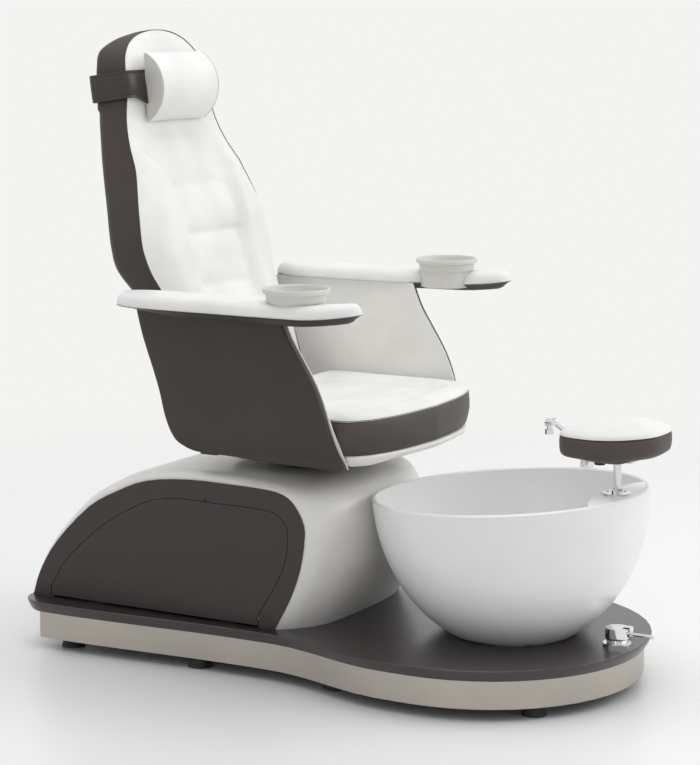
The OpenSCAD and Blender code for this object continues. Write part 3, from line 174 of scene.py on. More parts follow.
class Paint:
    """A Principled material whose colour and bump are built up step by step."""

    def __init__(self, name, colour, roughness, metallic=0.0, specular=0.5):
        self.mat = bpy.data.materials.new(name)
        self.mat.use_nodes = True
        self.tree = self.mat.node_tree
        self.bsdf = self.tree.nodes["Principled BSDF"]
        self.colour = colour
        self.bsdf.inputs["Base Color"].default_value = (*colour, 1)
        self.bsdf.inputs["Roughness"].default_value = roughness
        self.bsdf.inputs["Metallic"].default_value = metallic
        self.bsdf.inputs["Specular IOR Level"].default_value = specular
        self.coords = self.tree.nodes.new("ShaderNodeTexCoord").outputs["Object"]
        self.normal = None

    def stretched(self, scale):
        node = self.tree.nodes.new("ShaderNodeMapping")
        node.inputs["Scale"].default_value = scale
        self.tree.links.new(self.coords, node.inputs["Vector"])
        return node.outputs[0]

    def noise(self, scale, detail=3.0, stretch=(1, 1, 1)):
        node = self.tree.nodes.new("ShaderNodeTexNoise")
        node.inputs["Scale"].default_value = scale
        node.inputs["Detail"].default_value = detail
        self.tree.links.new(self.stretched(stretch), node.inputs["Vector"])
        return node.outputs["Fac"]

    def cells(self, scale):
        node = self.tree.nodes.new("ShaderNodeTexVoronoi")
        node.feature = "SMOOTH_F1"
        node.inputs["Scale"].default_value = scale
        self.tree.links.new(self.coords, node.inputs["Vector"])
        return node.outputs["Distance"]

    def vary_colour(self, fac, amount):
        """Colour a little darker and lighter with a texture."""
        ramp = self.tree.nodes.new("ShaderNodeValToRGB")
        low = [c * (1 - amount) for c in self.colour]
        high = [min(1.0, c * (1 + amount)) for c in self.colour]
        ramp.color_ramp.elements[0].color = (*low, 1)
        ramp.color_ramp.elements[1].color = (*high, 1)
        ramp.color_ramp.elements[0].position = 0.3
        ramp.color_ramp.elements[1].position = 0.7
        self.tree.links.new(fac, ramp.inputs[0])
        self.tree.links.new(ramp.outputs[0], self.bsdf.inputs["Base Color"])
        return self

    def vary_roughness(self, fac, low, high):
        span = self.tree.nodes.new("ShaderNodeMapRange")
        span.inputs["To Min"].default_value = low
        span.inputs["To Max"].default_value = high
        self.tree.links.new(fac, span.inputs["Value"])
        self.tree.links.new(span.outputs[0], self.bsdf.inputs["Roughness"])
        return self

    def bump(self, fac, height_mm, strength=1.0):
        node = self.tree.nodes.new("ShaderNodeBump")
        node.inputs["Distance"].default_value = height_mm * MM
        node.inputs["Strength"].default_value = strength
        self.tree.links.new(fac, node.inputs["Height"])
        if self.normal is not None:
            self.tree.links.new(self.normal, node.inputs["Normal"])
        self.normal = node.outputs[0]
        self.tree.links.new(self.normal, self.bsdf.inputs["Normal"])
        return self

    def coat(self, weight, roughness):
        self.bsdf.inputs["Coat Weight"].default_value = weight
        self.bsdf.inputs["Coat Roughness"].default_value = roughness
        return self


def leather(name, colour, roughness, grain_mm, height_mm):
    paint = Paint(name, colour, roughness, specular=0.4)
    paint.vary_colour(paint.noise(9, 5), 0.06)
    paint.vary_roughness(paint.noise(30), roughness - 0.06, roughness + 0.06)
    paint.bump(paint.cells(1000 / grain_mm), height_mm)
    paint.bump(paint.noise(45, 4), height_mm * 2.5, 0.4)
    return paint.mat


def plastic(name, colour, roughness, grain_mm=0.8, height_mm=0.02, coat=0.0):
    paint = Paint(name, colour, roughness)
    paint.vary_colour(paint.noise(6, 3), 0.025)
    paint.bump(paint.noise(1000 / grain_mm), height_mm)
    if coat:
        paint.coat(coat, 0.12)
    return paint.mat


def metal(name, colour, roughness, stretch=(1, 1, 1), streak=0.04, height_mm=0.01):
    paint = Paint(name, colour, roughness, metallic=1.0)
    lines = paint.noise(350, 2, stretch)
    paint.vary_roughness(lines, roughness - streak, roughness + streak)
    paint.vary_colour(paint.noise(5, 2), 0.05)
    paint.bump(lines, height_mm)
    return paint.mat


def wenge(name, colour):
    """Dark veneer with fine grain lines along the chair and a satin lacquer."""
    paint = Paint(name, colour, 0.38)
    grain = paint.noise(55, 6, (14, 0.7, 1))
    paint.vary_colour(grain, 0.22)
    paint.vary_roughness(grain, 0.32, 0.42)
    paint.bump(grain, 0.04)
    paint.coat(0.5, 0.2)
    return paint.mat


def make_materials():
    return {
        "deck_wenge": wenge("deck_wenge", srgb(40, 32, 32)),
        "skirt_steel": metal("skirt_steel", srgb(178, 172, 163), 0.32, (0.06, 0.06, 9), 0.05, 0.02),
        "frame_steel": metal("frame_steel", srgb(70, 70, 72), 0.5),
        "foot_black": plastic("foot_black", srgb(28, 27, 28), 0.6),
        "shell_white": plastic("shell_white", srgb(236, 234, 230), 0.34, coat=0.15),
        "panel_dark": plastic("panel_dark", srgb(55, 47, 45), 0.55, 0.7, 0.08),
        "hinge_steel": metal("hinge_steel", srgb(190, 188, 184), 0.32),
        "box_black": plastic("box_black", srgb(24, 24, 25), 0.45),
        "hose_grey": plastic("hose_grey", srgb(120, 120, 120), 0.6),
        "connector_brass": metal("connector_brass", srgb(205, 178, 110), 0.3),
        "bowl_white": plastic("bowl_white", srgb(240, 240, 239), 0.28, 3.0, 0.01, 0.2),
        "chrome": metal("chrome", srgb(222, 222, 224), 0.08, (1, 1, 1), 0.02, 0.002),
        "disc_black": plastic("disc_black", srgb(30, 29, 30), 0.4),
        "leather_dark": leather("leather_dark", srgb(62, 54, 50), 0.50, 1.1, 0.07),
        # Lighter copy of the dark leather: painted light, for borders that face the key lamp
        "leather_dark_lit": leather("leather_dark_lit", srgb(76, 69, 65), 0.50, 1.1, 0.07),
        "leather_grey": leather("leather_grey", srgb(235, 233, 228), 0.45, 1.2, 0.05),
        "leather_white": leather("leather_white", srgb(235, 235, 232), 0.42, 1.3, 0.04),
        "cup_grey": plastic("cup_grey", srgb(214, 212, 206), 0.38),
        "strap_dark": leather("strap_dark", srgb(56, 48, 45), 0.36, 1.1, 0.06),
        "cap_grey": leather("cap_grey", srgb(206, 204, 196), 0.5, 1.2, 0.05),
    }


def soften(node, angle=32):
    """Round shading over the small faces of a carried-over node, with its true edges kept crisp."""
    node.data.polygons.foreach_set("use_smooth", [True] * len(node.data.polygons))
    node.modifiers.new("weld", "WELD").merge_threshold = 1e-5
    split = node.modifiers.new("split", "EDGE_SPLIT")
    split.split_angle = math.radians(angle)
    split.use_edge_sharp = False
    node.modifiers.new("shade", "WEIGHTED_NORMAL")


def dress_frame(paints):
    slots = {part["node"]: part["material_slot"] for part in frame["record"]["subparts"]}
    for name, node in frame["nodes"].items():
        for place in node.material_slots:
            place.material = paints[slots[name]]
        soften(node)

# ---------- Curves and meshes ----------


def between(a, b, c, d, t):
    """Point t between b and c of a smooth curve through a, b, c and d."""
    return 0.5 * (2 * b + (c - a) * t + (2 * a - 5 * b + 4 * c - d) * t**2 + (3 * b - a - 3 * c + d) * t**3)


def spline(points, steps, closed=False):
    p = np.array(points, float)
    n = len(p)
    t = np.arange(steps)[:, None] / steps
    last = n - 1
    runs = []
    for i in range(n if closed else last):
        ends = (i - 1) % n, (i + 2) % n
        if not closed:
            ends = max(0, i - 1), min(last, i + 2)
        runs.append(between(p[ends[0]], p[i], p[(i + 1) % n], p[ends[1]], t))
    return np.vstack(runs if closed else runs + [p[-1:]])


def row_at(table, value):
    """Row of a table sorted by its first column, smoothed between its rows."""
    t = np.array(table, float)
    i = int(np.clip(np.searchsorted(t[:, 0], value, side="right") - 1, 0, len(t) - 2))
    f = np.clip((value - t[i, 0]) / (t[i + 1, 0] - t[i, 0]), 0, 1)
    return between(t[max(0, i - 1)], t[i], t[i + 1], t[min(len(t) - 1, i + 2)], f)


def even(points, count, closed=False):
    """The same line with its points at even steps."""
    p = np.vstack([points, points[:1]]) if closed else np.array(points, float)
    run = np.r_[0, np.cumsum(np.linalg.norm(np.diff(p, axis=0), axis=1))]
    at = np.linspace(0, run[-1], count, endpoint=not closed)
    return np.stack([np.interp(at, run, p[:, k]) for k in range(p.shape[1])], axis=1)


def smooth(t):
    t = np.clip(t, 0, 1)
    return t * t * (3 - 2 * t)


def ridge(distance, width):
    return np.exp(-((distance / width) ** 2))


def inset(loop, d):
    """A counter-clockwise loop moved inwards."""
    run = np.roll(loop, -1, axis=0) - np.roll(loop, 1, axis=0)
    run /= np.maximum(np.linalg.norm(run, axis=1), 1e-6)[:, None]
    return loop - d * np.stack([run[:, 1], -run[:, 0]], axis=1)


def edge_distance(points, loop):
    a, b = loop, np.roll(loop, -1, axis=0)
    run = b - a
    t = np.einsum("pij,ij->pi", points[:, None] - a[None], run) / np.maximum((run**2).sum(1), 1e-9)
    near = a[None] + np.clip(t, 0, 1)[:, :, None] * run[None]
    return np.linalg.norm(points[:, None] - near, axis=2).min(1)


def rounded(distance, radius):
    """How far a rounded edge falls back at a distance from it."""
    t = np.clip(1 - distance / radius, 0, 1)
    return radius * (1 - np.sqrt(1 - t * t))


def wobble(points, size, height, seed=0.0):
    """Soft unevenness of stretched leather: noise by place, in millimetres."""
    from_place = [noise.noise(Vector(p) / size + Vector((seed, 0, 0))) for p in points]
    return height * np.array(from_place)


def add_mesh(name, points, faces, skins, skin_of=None, sharp=60):
    mesh = bpy.data.meshes.new(name)
    mesh.from_pydata([tuple(p) for p in np.asarray(points, float) * MM], [], faces)
    for skin in skins:
        mesh.materials.append(paints[skin])
    if skin_of is not None:
        mesh.polygons.foreach_set("material_index", skin_of)
    work = bmesh.new()
    work.from_mesh(mesh)
    bmesh.ops.recalc_face_normals(work, faces=work.faces)
    work.to_mesh(mesh)
    work.free()
    mesh.polygons.foreach_set("use_smooth", [True] * len(mesh.polygons))
    mesh.set_sharp_from_angle(angle=math.radians(sharp))
    mesh.update()
    piece = bpy.data.objects.new(name, mesh)
    bpy.context.scene.collection.objects.link(piece)
    return piece


def ring_faces(rings, size, caps=True):
    faces = [
        (k * size + i, k * size + (i + 1) % size, (k + 1) * size + (i + 1) % size, (k + 1) * size + i)
        for k in range(rings - 1)
        for i in range(size)
    ]
    if caps:
        faces += [tuple(range(size))[::-1], tuple(range((rings - 1) * size, rings * size))]
    return faces


def loft(name, rings, skins, **more):
    rings = [np.asarray(r, float) for r in rings]
    return add_mesh(name, np.vstack(rings), ring_faces(len(rings), len(rings[0])), skins, **more)


def tube(name, path, radius, skin, closed=True, sides=10):
    """Piping or wire along a path of 3-D points."""
    p = np.asarray(path, float)
    run = np.roll(p, -1, axis=0) - np.roll(p, 1, axis=0)
    if not closed:
        run[0], run[-1] = p[1] - p[0], p[-1] - p[-2]
    run /= np.linalg.norm(run, axis=1)[:, None]
    up = np.array([0.31, 0.22, 0.925])
    side = np.cross(run, up)
    side /= np.linalg.norm(side, axis=1)[:, None]
    over = np.cross(side, run)
    turn = np.linspace(0, 2 * math.pi, sides, endpoint=False)
    c, s = np.cos(turn)[:, None], np.sin(turn)[:, None]
    rings = [p[i] + radius * (c * side[i] + s * over[i]) for i in range(len(p))]
    if closed:
        faces = ring_faces(len(rings) + 1, sides, caps=False)
        count = len(rings) * sides
        faces = [tuple(v % count for v in face) for face in faces]
        return add_mesh(name, np.vstack(rings), faces, [skin])
    return loft(name, rings, [skin])


def put(piece, body, replaced=()):
    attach(piece, body)
    if replaced:
        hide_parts(*replaced)
    return piece


def places(piece):
    co = np.zeros(len(piece.data.vertices) * 3)
    piece.data.vertices.foreach_get("co", co)
    return co.reshape(-1, 3)


SWELL_FRAMES = 20


def swell(piece, pinned, pressure, cap):
    """Blows the cover out as cloth under pressure, between the points that are sewn down."""
    scene = bpy.context.scene
    rest = places(piece)
    group = piece.vertex_groups.new(name="sewn")
    group.add([int(i) for i in np.flatnonzero(pinned)], 1.0, "REPLACE")
    cloth = piece.modifiers.new("cloth", "CLOTH")
    cloth.settings.vertex_group_mass = "sewn"
    cloth.settings.use_pressure = True
    cloth.settings.uniform_pressure_force = pressure
    cloth.settings.effector_weights.gravity = 0
    cloth.settings.bending_stiffness = 0.6
    cloth.collision_settings.use_collision = False
    for step in range(1, SWELL_FRAMES + 1):
        scene.frame_set(step)
    shown = piece.evaluated_get(bpy.context.evaluated_depsgraph_get())
    moved = np.zeros(len(rest) * 3)
    shown.data.vertices.foreach_get("co", moved)
    shift = moved.reshape(-1, 3) - rest
    size = np.linalg.norm(shift, axis=1)
    limit = cap * MM
    shift *= (limit * np.tanh(size / limit) / np.maximum(size, 1e-9))[:, None]
    piece.modifiers.remove(cloth)
    piece.vertex_groups.clear()
    scene.frame_set(1)
    piece.data.vertices.foreach_set("co", (rest + shift).ravel())
    piece.data.update()


def span(node):
    low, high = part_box(node)
    return np.array(low) / MM, np.array(high) / MM


# ---------- Backrest ----------

# Share of the height, half width, y of the seam, y of the rear, share of the crown
BACK_ROWS = [
    (0, 215, 262, 312, 0.53), (0.085, 220, 272, 325, 0.7), (0.17, 222, 290, 343, 0.88),
    (0.27, 226, 320, 378, 1), (0.35, 221, 350, 438, 1), (0.41, 238, 372, 471, 1),
    (0.47, 248, 385, 479, 1), (0.56, 233, 404, 498, 1), (0.655, 204, 430, 527, 0.7),
    (0.72, 184, 459, 545, 0.09), (0.78, 169, 476, 558.5, 0.2), (0.86, 155, 482, 568, 0.32),
    (0.91, 144, 491, 573, 0.34), (0.95, 127, 502, 577, 0.28), (0.98, 101, 510, 556, 0.2),
    (1, 55, 514, 530, 0.1),
]
# The top is an arch from this share of the height up
ARCH_START = 0.86
ARCH_POWER = 2.4
BACK_CROWN = 34
ARCH_TURN = np.radians(np.linspace(0, 89, 34)[1:])
ARCH_LEVELS = ARCH_START + (1 - ARCH_START) * np.sin(ARCH_TURN) ** (2 / ARCH_POWER)
BACK_LEVELS = np.r_[np.linspace(0, ARCH_START, 106), ARCH_LEVELS]
# Height above the floor and half width of the lower middle panel
BACK_PANEL = np.array([(560, 98), (789, 104), (897, 106), (998, 112), (1050, 126), (1105, 150)]).T
# How far the panel lies behind the bolsters, and how wide their outer slope is
PANEL_SINK = 20
BOLSTER_SLOPE = 82
# Heights between which the panel is sunk, the sewn channels across it and the neck seam
PANEL_FROM_Z = 590
PANEL_TO_Z = 1078
CHANNELS = (789, 897, 998)
NECK_Z = 1105
# The strap's height on the shell, where the dark leather lies flatter
STRAP_Z = 1190
STRAP_SHARE = 0.84


def back_row(share):
    """Half width, seam, rear and crown share of the backrest at one height."""
    _, w, seam, rear, crown = row_at(BACK_ROWS, share)
    if share > ARCH_START:
        rise = (share - ARCH_START) / (1 - ARCH_START)
        w = row_at(BACK_ROWS, ARCH_START)[1] * (1 - rise**ARCH_POWER) ** (1 / ARCH_POWER)
    return w, seam, rear, crown


def back_relief(x, z, w):
    """How far the white front stands out from its plain crown, and where it is sewn down."""
    panel = np.interp(z, *BACK_PANEL)
    zone = smooth((z - PANEL_FROM_Z) / 120) * (1 - smooth((z - PANEL_TO_Z) / 26))
    out = np.abs(x)
    bolster = 7 * zone * smooth((out - panel) / 26) * smooth((w - out) / 50)
    sunk = PANEL_SINK * zone * smooth((panel + 14 - out) / 34)
    valley = 4 * zone * ridge(out - panel, 6)
    sewn = sum(ridge(z - c, 6) for c in CHANNELS) * smooth((panel - out) / 12)
    neck = ridge(z - NECK_Z, 6) * smooth((w - out) / 8)
    pinned = (valley > 3.4) | (sewn > 0.6) | (neck > 0.6)
    return bolster - sunk - valley - 5.5 * sewn - 6 * neck, pinned


def make_back():
    low, high = span("back_cushion")
    turn = np.radians(np.linspace(180, 360, 61))
    rings, pins, seams = [], [], []
    for share in BACK_LEVELS:
        w, seam, rear, crown = back_row(share)
        z = low[2] + share * (high[2] - low[2])
        x = w * np.cos(turn)
        edge = np.sin(np.clip((w - np.abs(x)) / min(BOLSTER_SLOPE, 0.75 * w), 0, 1) * math.pi / 2)
        relief, sewn = back_relief(x, z, w)
        y = np.minimum(seam - crown * BACK_CROWN * edge - relief * edge, seam - 0.6)
        front = np.stack([x, y, np.full_like(x, z)], axis=1)
        behind = np.array([(0.5 * w, seam, z), (-0.5 * w, seam, z)])
        rings.append(np.vstack([front, behind]))
        # The front above the neck seam stays sewn down, clear of the headrest roll
        sewn = sewn | (edge < 0.12) | (z > NECK_Z + 12)
        pins.append(np.r_[sewn, True, True])
        seams.append((w, seam, z))
    pins[0][:] = pins[-1][:] = True
    cushion = loft("back_cover", rings, ["leather_white"])
    swell(cushion, np.concatenate(pins), 4.0, 5)
    put(cushion, "back", ["back_cushion"])
    right = [(w + 0.5, seam, z) for w, seam, z in seams]
    left = [(-x, y, z) for x, y, z in reversed(right)]
    line = even(np.array(right + left), 420)
    put(tube("back_piping", line, 1.6, "leather_dark", closed=False), "back")


def make_back_shell():
    low, high = span("back_shell")
    rings = []
    for share in BACK_LEVELS:
        w, seam, rear, _ = back_row(share)
        z = low[2] + share * (high[2] - low[2])
        corner = min(18 if share > 0.8 else 28, (rear - seam) * 0.6, w * 0.7)
        turn = np.radians(np.arange(0, 91, 7.5))
        under_strap = ridge(share - STRAP_SHARE, 0.08)
        bulge = 2.2 * math.sin(math.pi * min(1, (1 - share) * 9) / 2) * (1 - 0.9 * under_strap)
        side_y = np.linspace(seam, rear - corner, 9)
        side_x = w + bulge * np.sin(np.linspace(0, math.pi, 9))
        right = np.stack([side_x, side_y], axis=1)[:-1]
        centre = np.array([w - corner, rear - corner])
        round_off = centre + corner * np.stack([np.cos(turn), np.sin(turn)], axis=1)
        half = np.vstack([right, round_off])
        rear_line = np.stack([np.linspace(w - corner, corner - w, 12)[1:-1], np.full(10, rear)], axis=1)
        loop = np.vstack([half, rear_line, half[::-1] * (-1, 1)])
        rings.append(np.c_[loop, np.full(len(loop), z)])
    points = np.vstack(rings)
    normal = points - points.mean(0)
    normal[:, 2] = 0
    normal /= np.maximum(np.linalg.norm(normal, axis=1), 1)[:, None]
    calm = 0.8 - 0.6 * ridge(points[:, 2] - STRAP_Z, 70)
    points += normal * (calm * wobble(points, 130, 1))[:, None]
    shell = add_mesh("back_wrap", points, ring_faces(len(rings), len(rings[0])), ["leather_dark"])
    put(shell, "back", ["back_shell"])


# ---------- Headrest ----------

ROLL_PLACE = (0, 467, 1208)
HEAD_LEAN = math.radians(8)
ROLL_TIP = math.radians(5)
ROLL_HALF_W = 107
ROLL_H = 148
ROLL_D = 46
STRAP_H = 58
STRAP_T = 3
STRAP_RISE = 8
# Half of the strap from above, from the roll round the shell to its middle
STRAP_PATH = [
    (100, 2), (125, 1.5), (148, 3), (163, 8), (167.8, 20), (167.8, 60), (167.8, 88), (164.8, 97.6),
    (154, 101.9), (110, 102), (60, 102), (0, 102),
]


def on_head(points):
    """From the headrest's own frame, which leans back, to the chair's."""
    x, y, z = np.asarray(points, float).T
    c, s = math.cos(HEAD_LEAN), math.sin(HEAD_LEAN)
    return np.stack([x + ROLL_PLACE[0], ROLL_PLACE[1] + y * c + z * s, ROLL_PLACE[2] - y * s + z * c], axis=1)


def roll_section(shrink):
    """D section in y and z: a flat rear, a round front and small rounded corners."""
    half, depth = ROLL_H / 2 - shrink, ROLL_D - shrink
    radius = (half**2 + depth**2) / (2 * depth)
    reach = math.asin(min(1, half / radius))
    turn = np.linspace(-reach * 0.97, reach * 0.97, 41)
    arc = np.stack([radius - depth - radius * np.cos(turn), radius * np.sin(turn)], axis=1)
    low = np.array([(0, -half * 0.5), (0, 8 - half), (-0.5, 3 - half)])
    rear = np.vstack([low[::-1] * (1, -1), [(0, 0)], low])
    y, z = even(spline(np.vstack([arc, rear]), 2, closed=True), 72, closed=True).T
    c, s = math.cos(ROLL_TIP), math.sin(ROLL_TIP)
    return np.stack([y * c - z * s, y * s + z * c], axis=1)


def make_headrest():
    stations = [(ROLL_HALF_W, 9), (ROLL_HALF_W, 3.2), (106.2, 1.6), (104.5, 0.5), (101, 0)]
    stations += [(x, 0) for x in (92, 76, 56, 34, 12)]
    stations = [(-x, s) for x, s in stations] + [(x, s) for x, s in reversed(stations)]
    rings = []
    for x, shrink in stations:
        section = roll_section(shrink)
        rings.append(on_head(np.c_[np.full(len(section), x), section]))
    size = len(rings[0])
    faces = ring_faces(len(rings), size)
    skin_of = [0] * len(faces)
    for band in (0, len(rings) - 2):
        for i in range(size):
            skin_of[band * size + i] = 1
    skin_of[-1] = skin_of[-2] = 1
    roll = add_mesh("head_roll", np.vstack(rings), faces, ["leather_white", "cap_grey"], skin_of)
    local = np.repeat(np.abs([x for x, _ in stations]), size)
    y, z = roll_section(0).T
    flat = np.tile(y + z * math.tan(ROLL_TIP) > -1, len(stations))
    swell(roll, (local > 103) | flat, 3.5, 4)
    put(roll, "headrest", ["headrest_roll"])
    for side, name in ((-1, "head_piping_right"), (1, "head_piping_left")):
        section = roll_section(1.2)
        line = on_head(np.c_[np.full(len(section), side * 106.6), section])
        put(tube(name, line, 1.3, "cap_grey"), "headrest")


def make_strap():
    half = spline(STRAP_PATH, 6)
    path = np.vstack([half, half[-2::-1] * (-1, 1)])
    run = np.gradient(path, axis=0)
    run /= np.linalg.norm(run, axis=1)[:, None]
    out = np.stack([run[:, 1], -run[:, 0]], axis=1)
    h = STRAP_H / 2
    stitched = [(0.8, 1), (5, 1), (6, 0.75), (7, 1)]
    across = [(-h, 0.4)] + [(-h + d, lift) for d, lift in stitched] + [(0, 1.1)]
    across += [(h - d, lift) for d, lift in stitched[::-1]] + [(h, 0.4), (h, 0), (0, 0), (-h, 0)]
    rings = []
    for p, o in zip(path, out):
        flare = 1 - smooth((abs(p[0]) - 100) / 55) if p[1] < 30 else 0
        ring = []
        for z, lift in across:
            drop = 15 * flare * smooth((h - z) / STRAP_H)
            q = p + o * lift * STRAP_T
            ring.append((q[0], q[1], STRAP_RISE + z - drop))
        rings.append(on_head(ring))
    strap = loft("head_strap", rings, ["strap_dark"], sharp=40)
    put(strap, "headrest", ["headrest_strap"])


# ---------- Seat ----------

SEAT_Z = 470
ARM_SEAM_Z = 775
WALL_OUT = 292
WALL_T = 14
LINER_T = 4
WALL_TUCK = 32
TUCK_H = 110
# Side wall edges as y and share of the height to the armrest's seam
WALL_REAR = [
    (294, 0.055), (303, 0.12), (309, 0.21), (318, 0.367), (331, 0.505), (347, 0.642), (362, 0.78),
    (371, 0.89), (379, 1),
]
WALL_LOW = [
    (-104, -0.035), (-56, -0.046), (30, -0.045), (95, -0.041), (135, -0.033), (175, -0.0255), (217, -0.0235),
    (252, -0.019), (277, 0.004), (294, 0.055),
]
WALL_FRONT = [
    (-104, -0.035), (-98, 0.003), (-92, 0.069), (-85.5, 0.168), (-77, 0.3), (-64, 0.432), (-45, 0.56),
    (-19, 0.695), (8, 0.84), (28, 1),
]


def tuck(z):
    return WALL_TUCK * np.clip(1 - (z - SEAT_Z) / TUCK_H, 0, 1) ** 2


def to_height(rows):
    return np.array([(y, SEAT_Z + share * (ARM_SEAM_Z - SEAT_Z)) for y, share in rows])


def close_steps(length, count, first=(0, 0.8, 2, 4, 7, 11, 16)):
    """Shares from 0 to 1 with close steps at both ends."""
    near = np.array(first) / length
    return np.r_[near, np.linspace(near[-1], 1 - near[-1], count)[1:-1], (1 - near)[::-1]]


def wall_patch(front_shift):
    """Grid over the side wall's outline, in y and z, with its distance from the free edges."""
    us, vs = close_steps(420, 26), close_steps(305, 26)
    front, rear, low = (spline(to_height(rows), 12) for rows in (WALL_FRONT, WALL_REAR, WALL_LOW))
    front[:, 0] -= front_shift(front[:, 1])
    low[:, 0] -= front_shift(low[:, 1]) * np.clip((140 - low[:, 0]) / 259, 0, 1)

    def along(line, shares):
        run = np.r_[0, np.cumsum(np.linalg.norm(np.diff(line, axis=0), axis=1))]
        return np.stack([np.interp(shares * run[-1], run, line[:, k]) for k in (0, 1)], axis=1)

    f, r, b = along(front, vs), along(rear, vs), along(low, us)
    t = np.stack([np.interp(us, [0, 1], [f[-1, 0], r[-1, 0]]), np.full(len(us), ARM_SEAM_Z)], axis=1)
    u, v = us[None, :, None], vs[:, None, None]
    grid = (1 - v) * b[None] + v * t[None] + (1 - u) * f[:, None] + u * r[:, None]
    grid -= (1 - u) * (1 - v) * b[0] + u * (1 - v) * b[-1] + (1 - u) * v * t[0] + u * v * t[-1]
    width, height = 420, 305
    edge = np.minimum(np.minimum(us * width, (1 - us) * width)[None], (vs * height)[:, None])
    return grid, edge


def slab_mesh(name, outer, inner, skin):
    """Closed slab between two grids of 3-D points."""
    rows, cols = outer.shape[:2]
    count = rows * cols
    at = np.arange(count).reshape(rows, cols)
    faces = []
    for k in range(rows - 1):
        for i in range(cols - 1):
            quad = at[k, i], at[k, i + 1], at[k + 1, i + 1], at[k + 1, i]
            faces.append(tuple(int(q) for q in quad))
            faces.append(tuple(int(q) + count for q in quad[::-1]))
    rim = np.concatenate([at[0, :-1], at[:-1, -1], at[-1, :0:-1], at[:0:-1, 0]])
    for a, b in zip(rim, np.roll(rim, -1)):
        faces.append((int(b), int(a), int(a) + count, int(b) + count))
    return add_mesh(name, np.vstack([outer.reshape(-1, 3), inner.reshape(-1, 3)]), faces, [skin], sharp=75)


def make_walls():
    for side, label in ((-1, "right"), (1, "left")):
        grid, edge = wall_patch(lambda z: np.zeros_like(z))
        y, z = grid[..., 0], grid[..., 1]
        soft = 2.5 * (1 - np.exp(-edge / 30)) - rounded(edge, 9)
        flat = np.stack([y.ravel(), z.ravel(), np.zeros(y.size)], axis=1)
        creases = wobble(flat, 55, 1.0, side * 7).reshape(y.shape)
        creases = creases * (0.35 + ridge(edge, 45)) * smooth(edge / 8)
        x = WALL_OUT - tuck(z)
        outer = np.stack([side * (x + soft + creases), y, z], axis=2)
        inner = np.stack([side * (x - WALL_T + 0.2 + rounded(edge, 2)), y, z], axis=2)
        wall = slab_mesh("side_wrap_" + label, outer, inner, "leather_dark")
        put(wall, "seat", ["side_wall_" + label])
        grid, edge = wall_patch(lambda z: 1.5 + 8 * smooth((600 - z) / 130) * smooth((z - 455) / 60))
        y, z = grid[..., 0], grid[..., 1]
        x = WALL_OUT - WALL_T - tuck(z)
        outer = np.stack([side * (x - rounded(edge, 1.5)), y, z], axis=2)
        inner = np.stack([side * (x - LINER_T + rounded(edge, 2)), y, z], axis=2)
        liner = slab_mesh("tub_lining_" + label, outer, inner, "leather_grey")
        put(liner, "seat", ["side_liner_" + label])


CUSHION_Z = 486
CUSHION_TOP_Z = 559
CUSHION_REAR = 232
CUSHION_REACH = 177
SEAT_FRONT = [(1, -0.45), (0.995, -0.6), (0.92, -0.715), (0.77, -0.835), (0.45, -0.945), (0, -1)]
SEAT_POINTS = 220
# Radius of the two rear corners
SEAT_CORNER = 14
# Seat border from below: how far it stands out, and share of its height
SEAT_BORDER = [
    (-7, 0), (-2.5, 0.03), (0, 0.1), (1.5, 0.3), (2.5, 0.5), (2, 0.75), (0.5, 0.93), (-1.5, 0.985), (-4, 1),
]
# Lower middle panel of the seat: half width, front edge and rear edge
SEAT_PANEL = (178, -98, 190)


def seat_loop(w, rear, reach, count=SEAT_POINTS):
    half = spline(SEAT_FRONT, 6) * (w, reach)
    front = np.vstack([half * (-1, 1), half[-2::-1]])
    corner = np.radians(np.arange(15, 90, 15))
    r = SEAT_CORNER
    left = np.stack([w - r + r * np.cos(corner), rear - r + r * np.sin(corner)], axis=1)
    behind = [(w - r, rear), (r - w, rear)]
    loop = np.vstack([front, [(w, rear - r)], left, behind, left[::-1] * (-1, 1), [(-w, rear - r)]])
    return even(loop, count, closed=True)


def cushion_half_w(z):
    return WALL_OUT - WALL_T - LINER_T - max(12, tuck(z) + 2.3)


def seat_relief(x, y):
    """The seat's lower middle panel, its stitched edge and the tufts at its corners."""
    half_w, front, rear = SEAT_PANEL
    inside = np.minimum(half_w - np.abs(x), np.minimum(y - front - 10 * (np.abs(x) / half_w) ** 4, rear - y))
    tuft = ridge(np.hypot(np.abs(x) - half_w, y - front - 8), 12)
    seam = ridge(inside, 5)
    return -14 * smooth((inside + 12) / 26) - 4 * seam - 6 * tuft, (seam > 0.6)


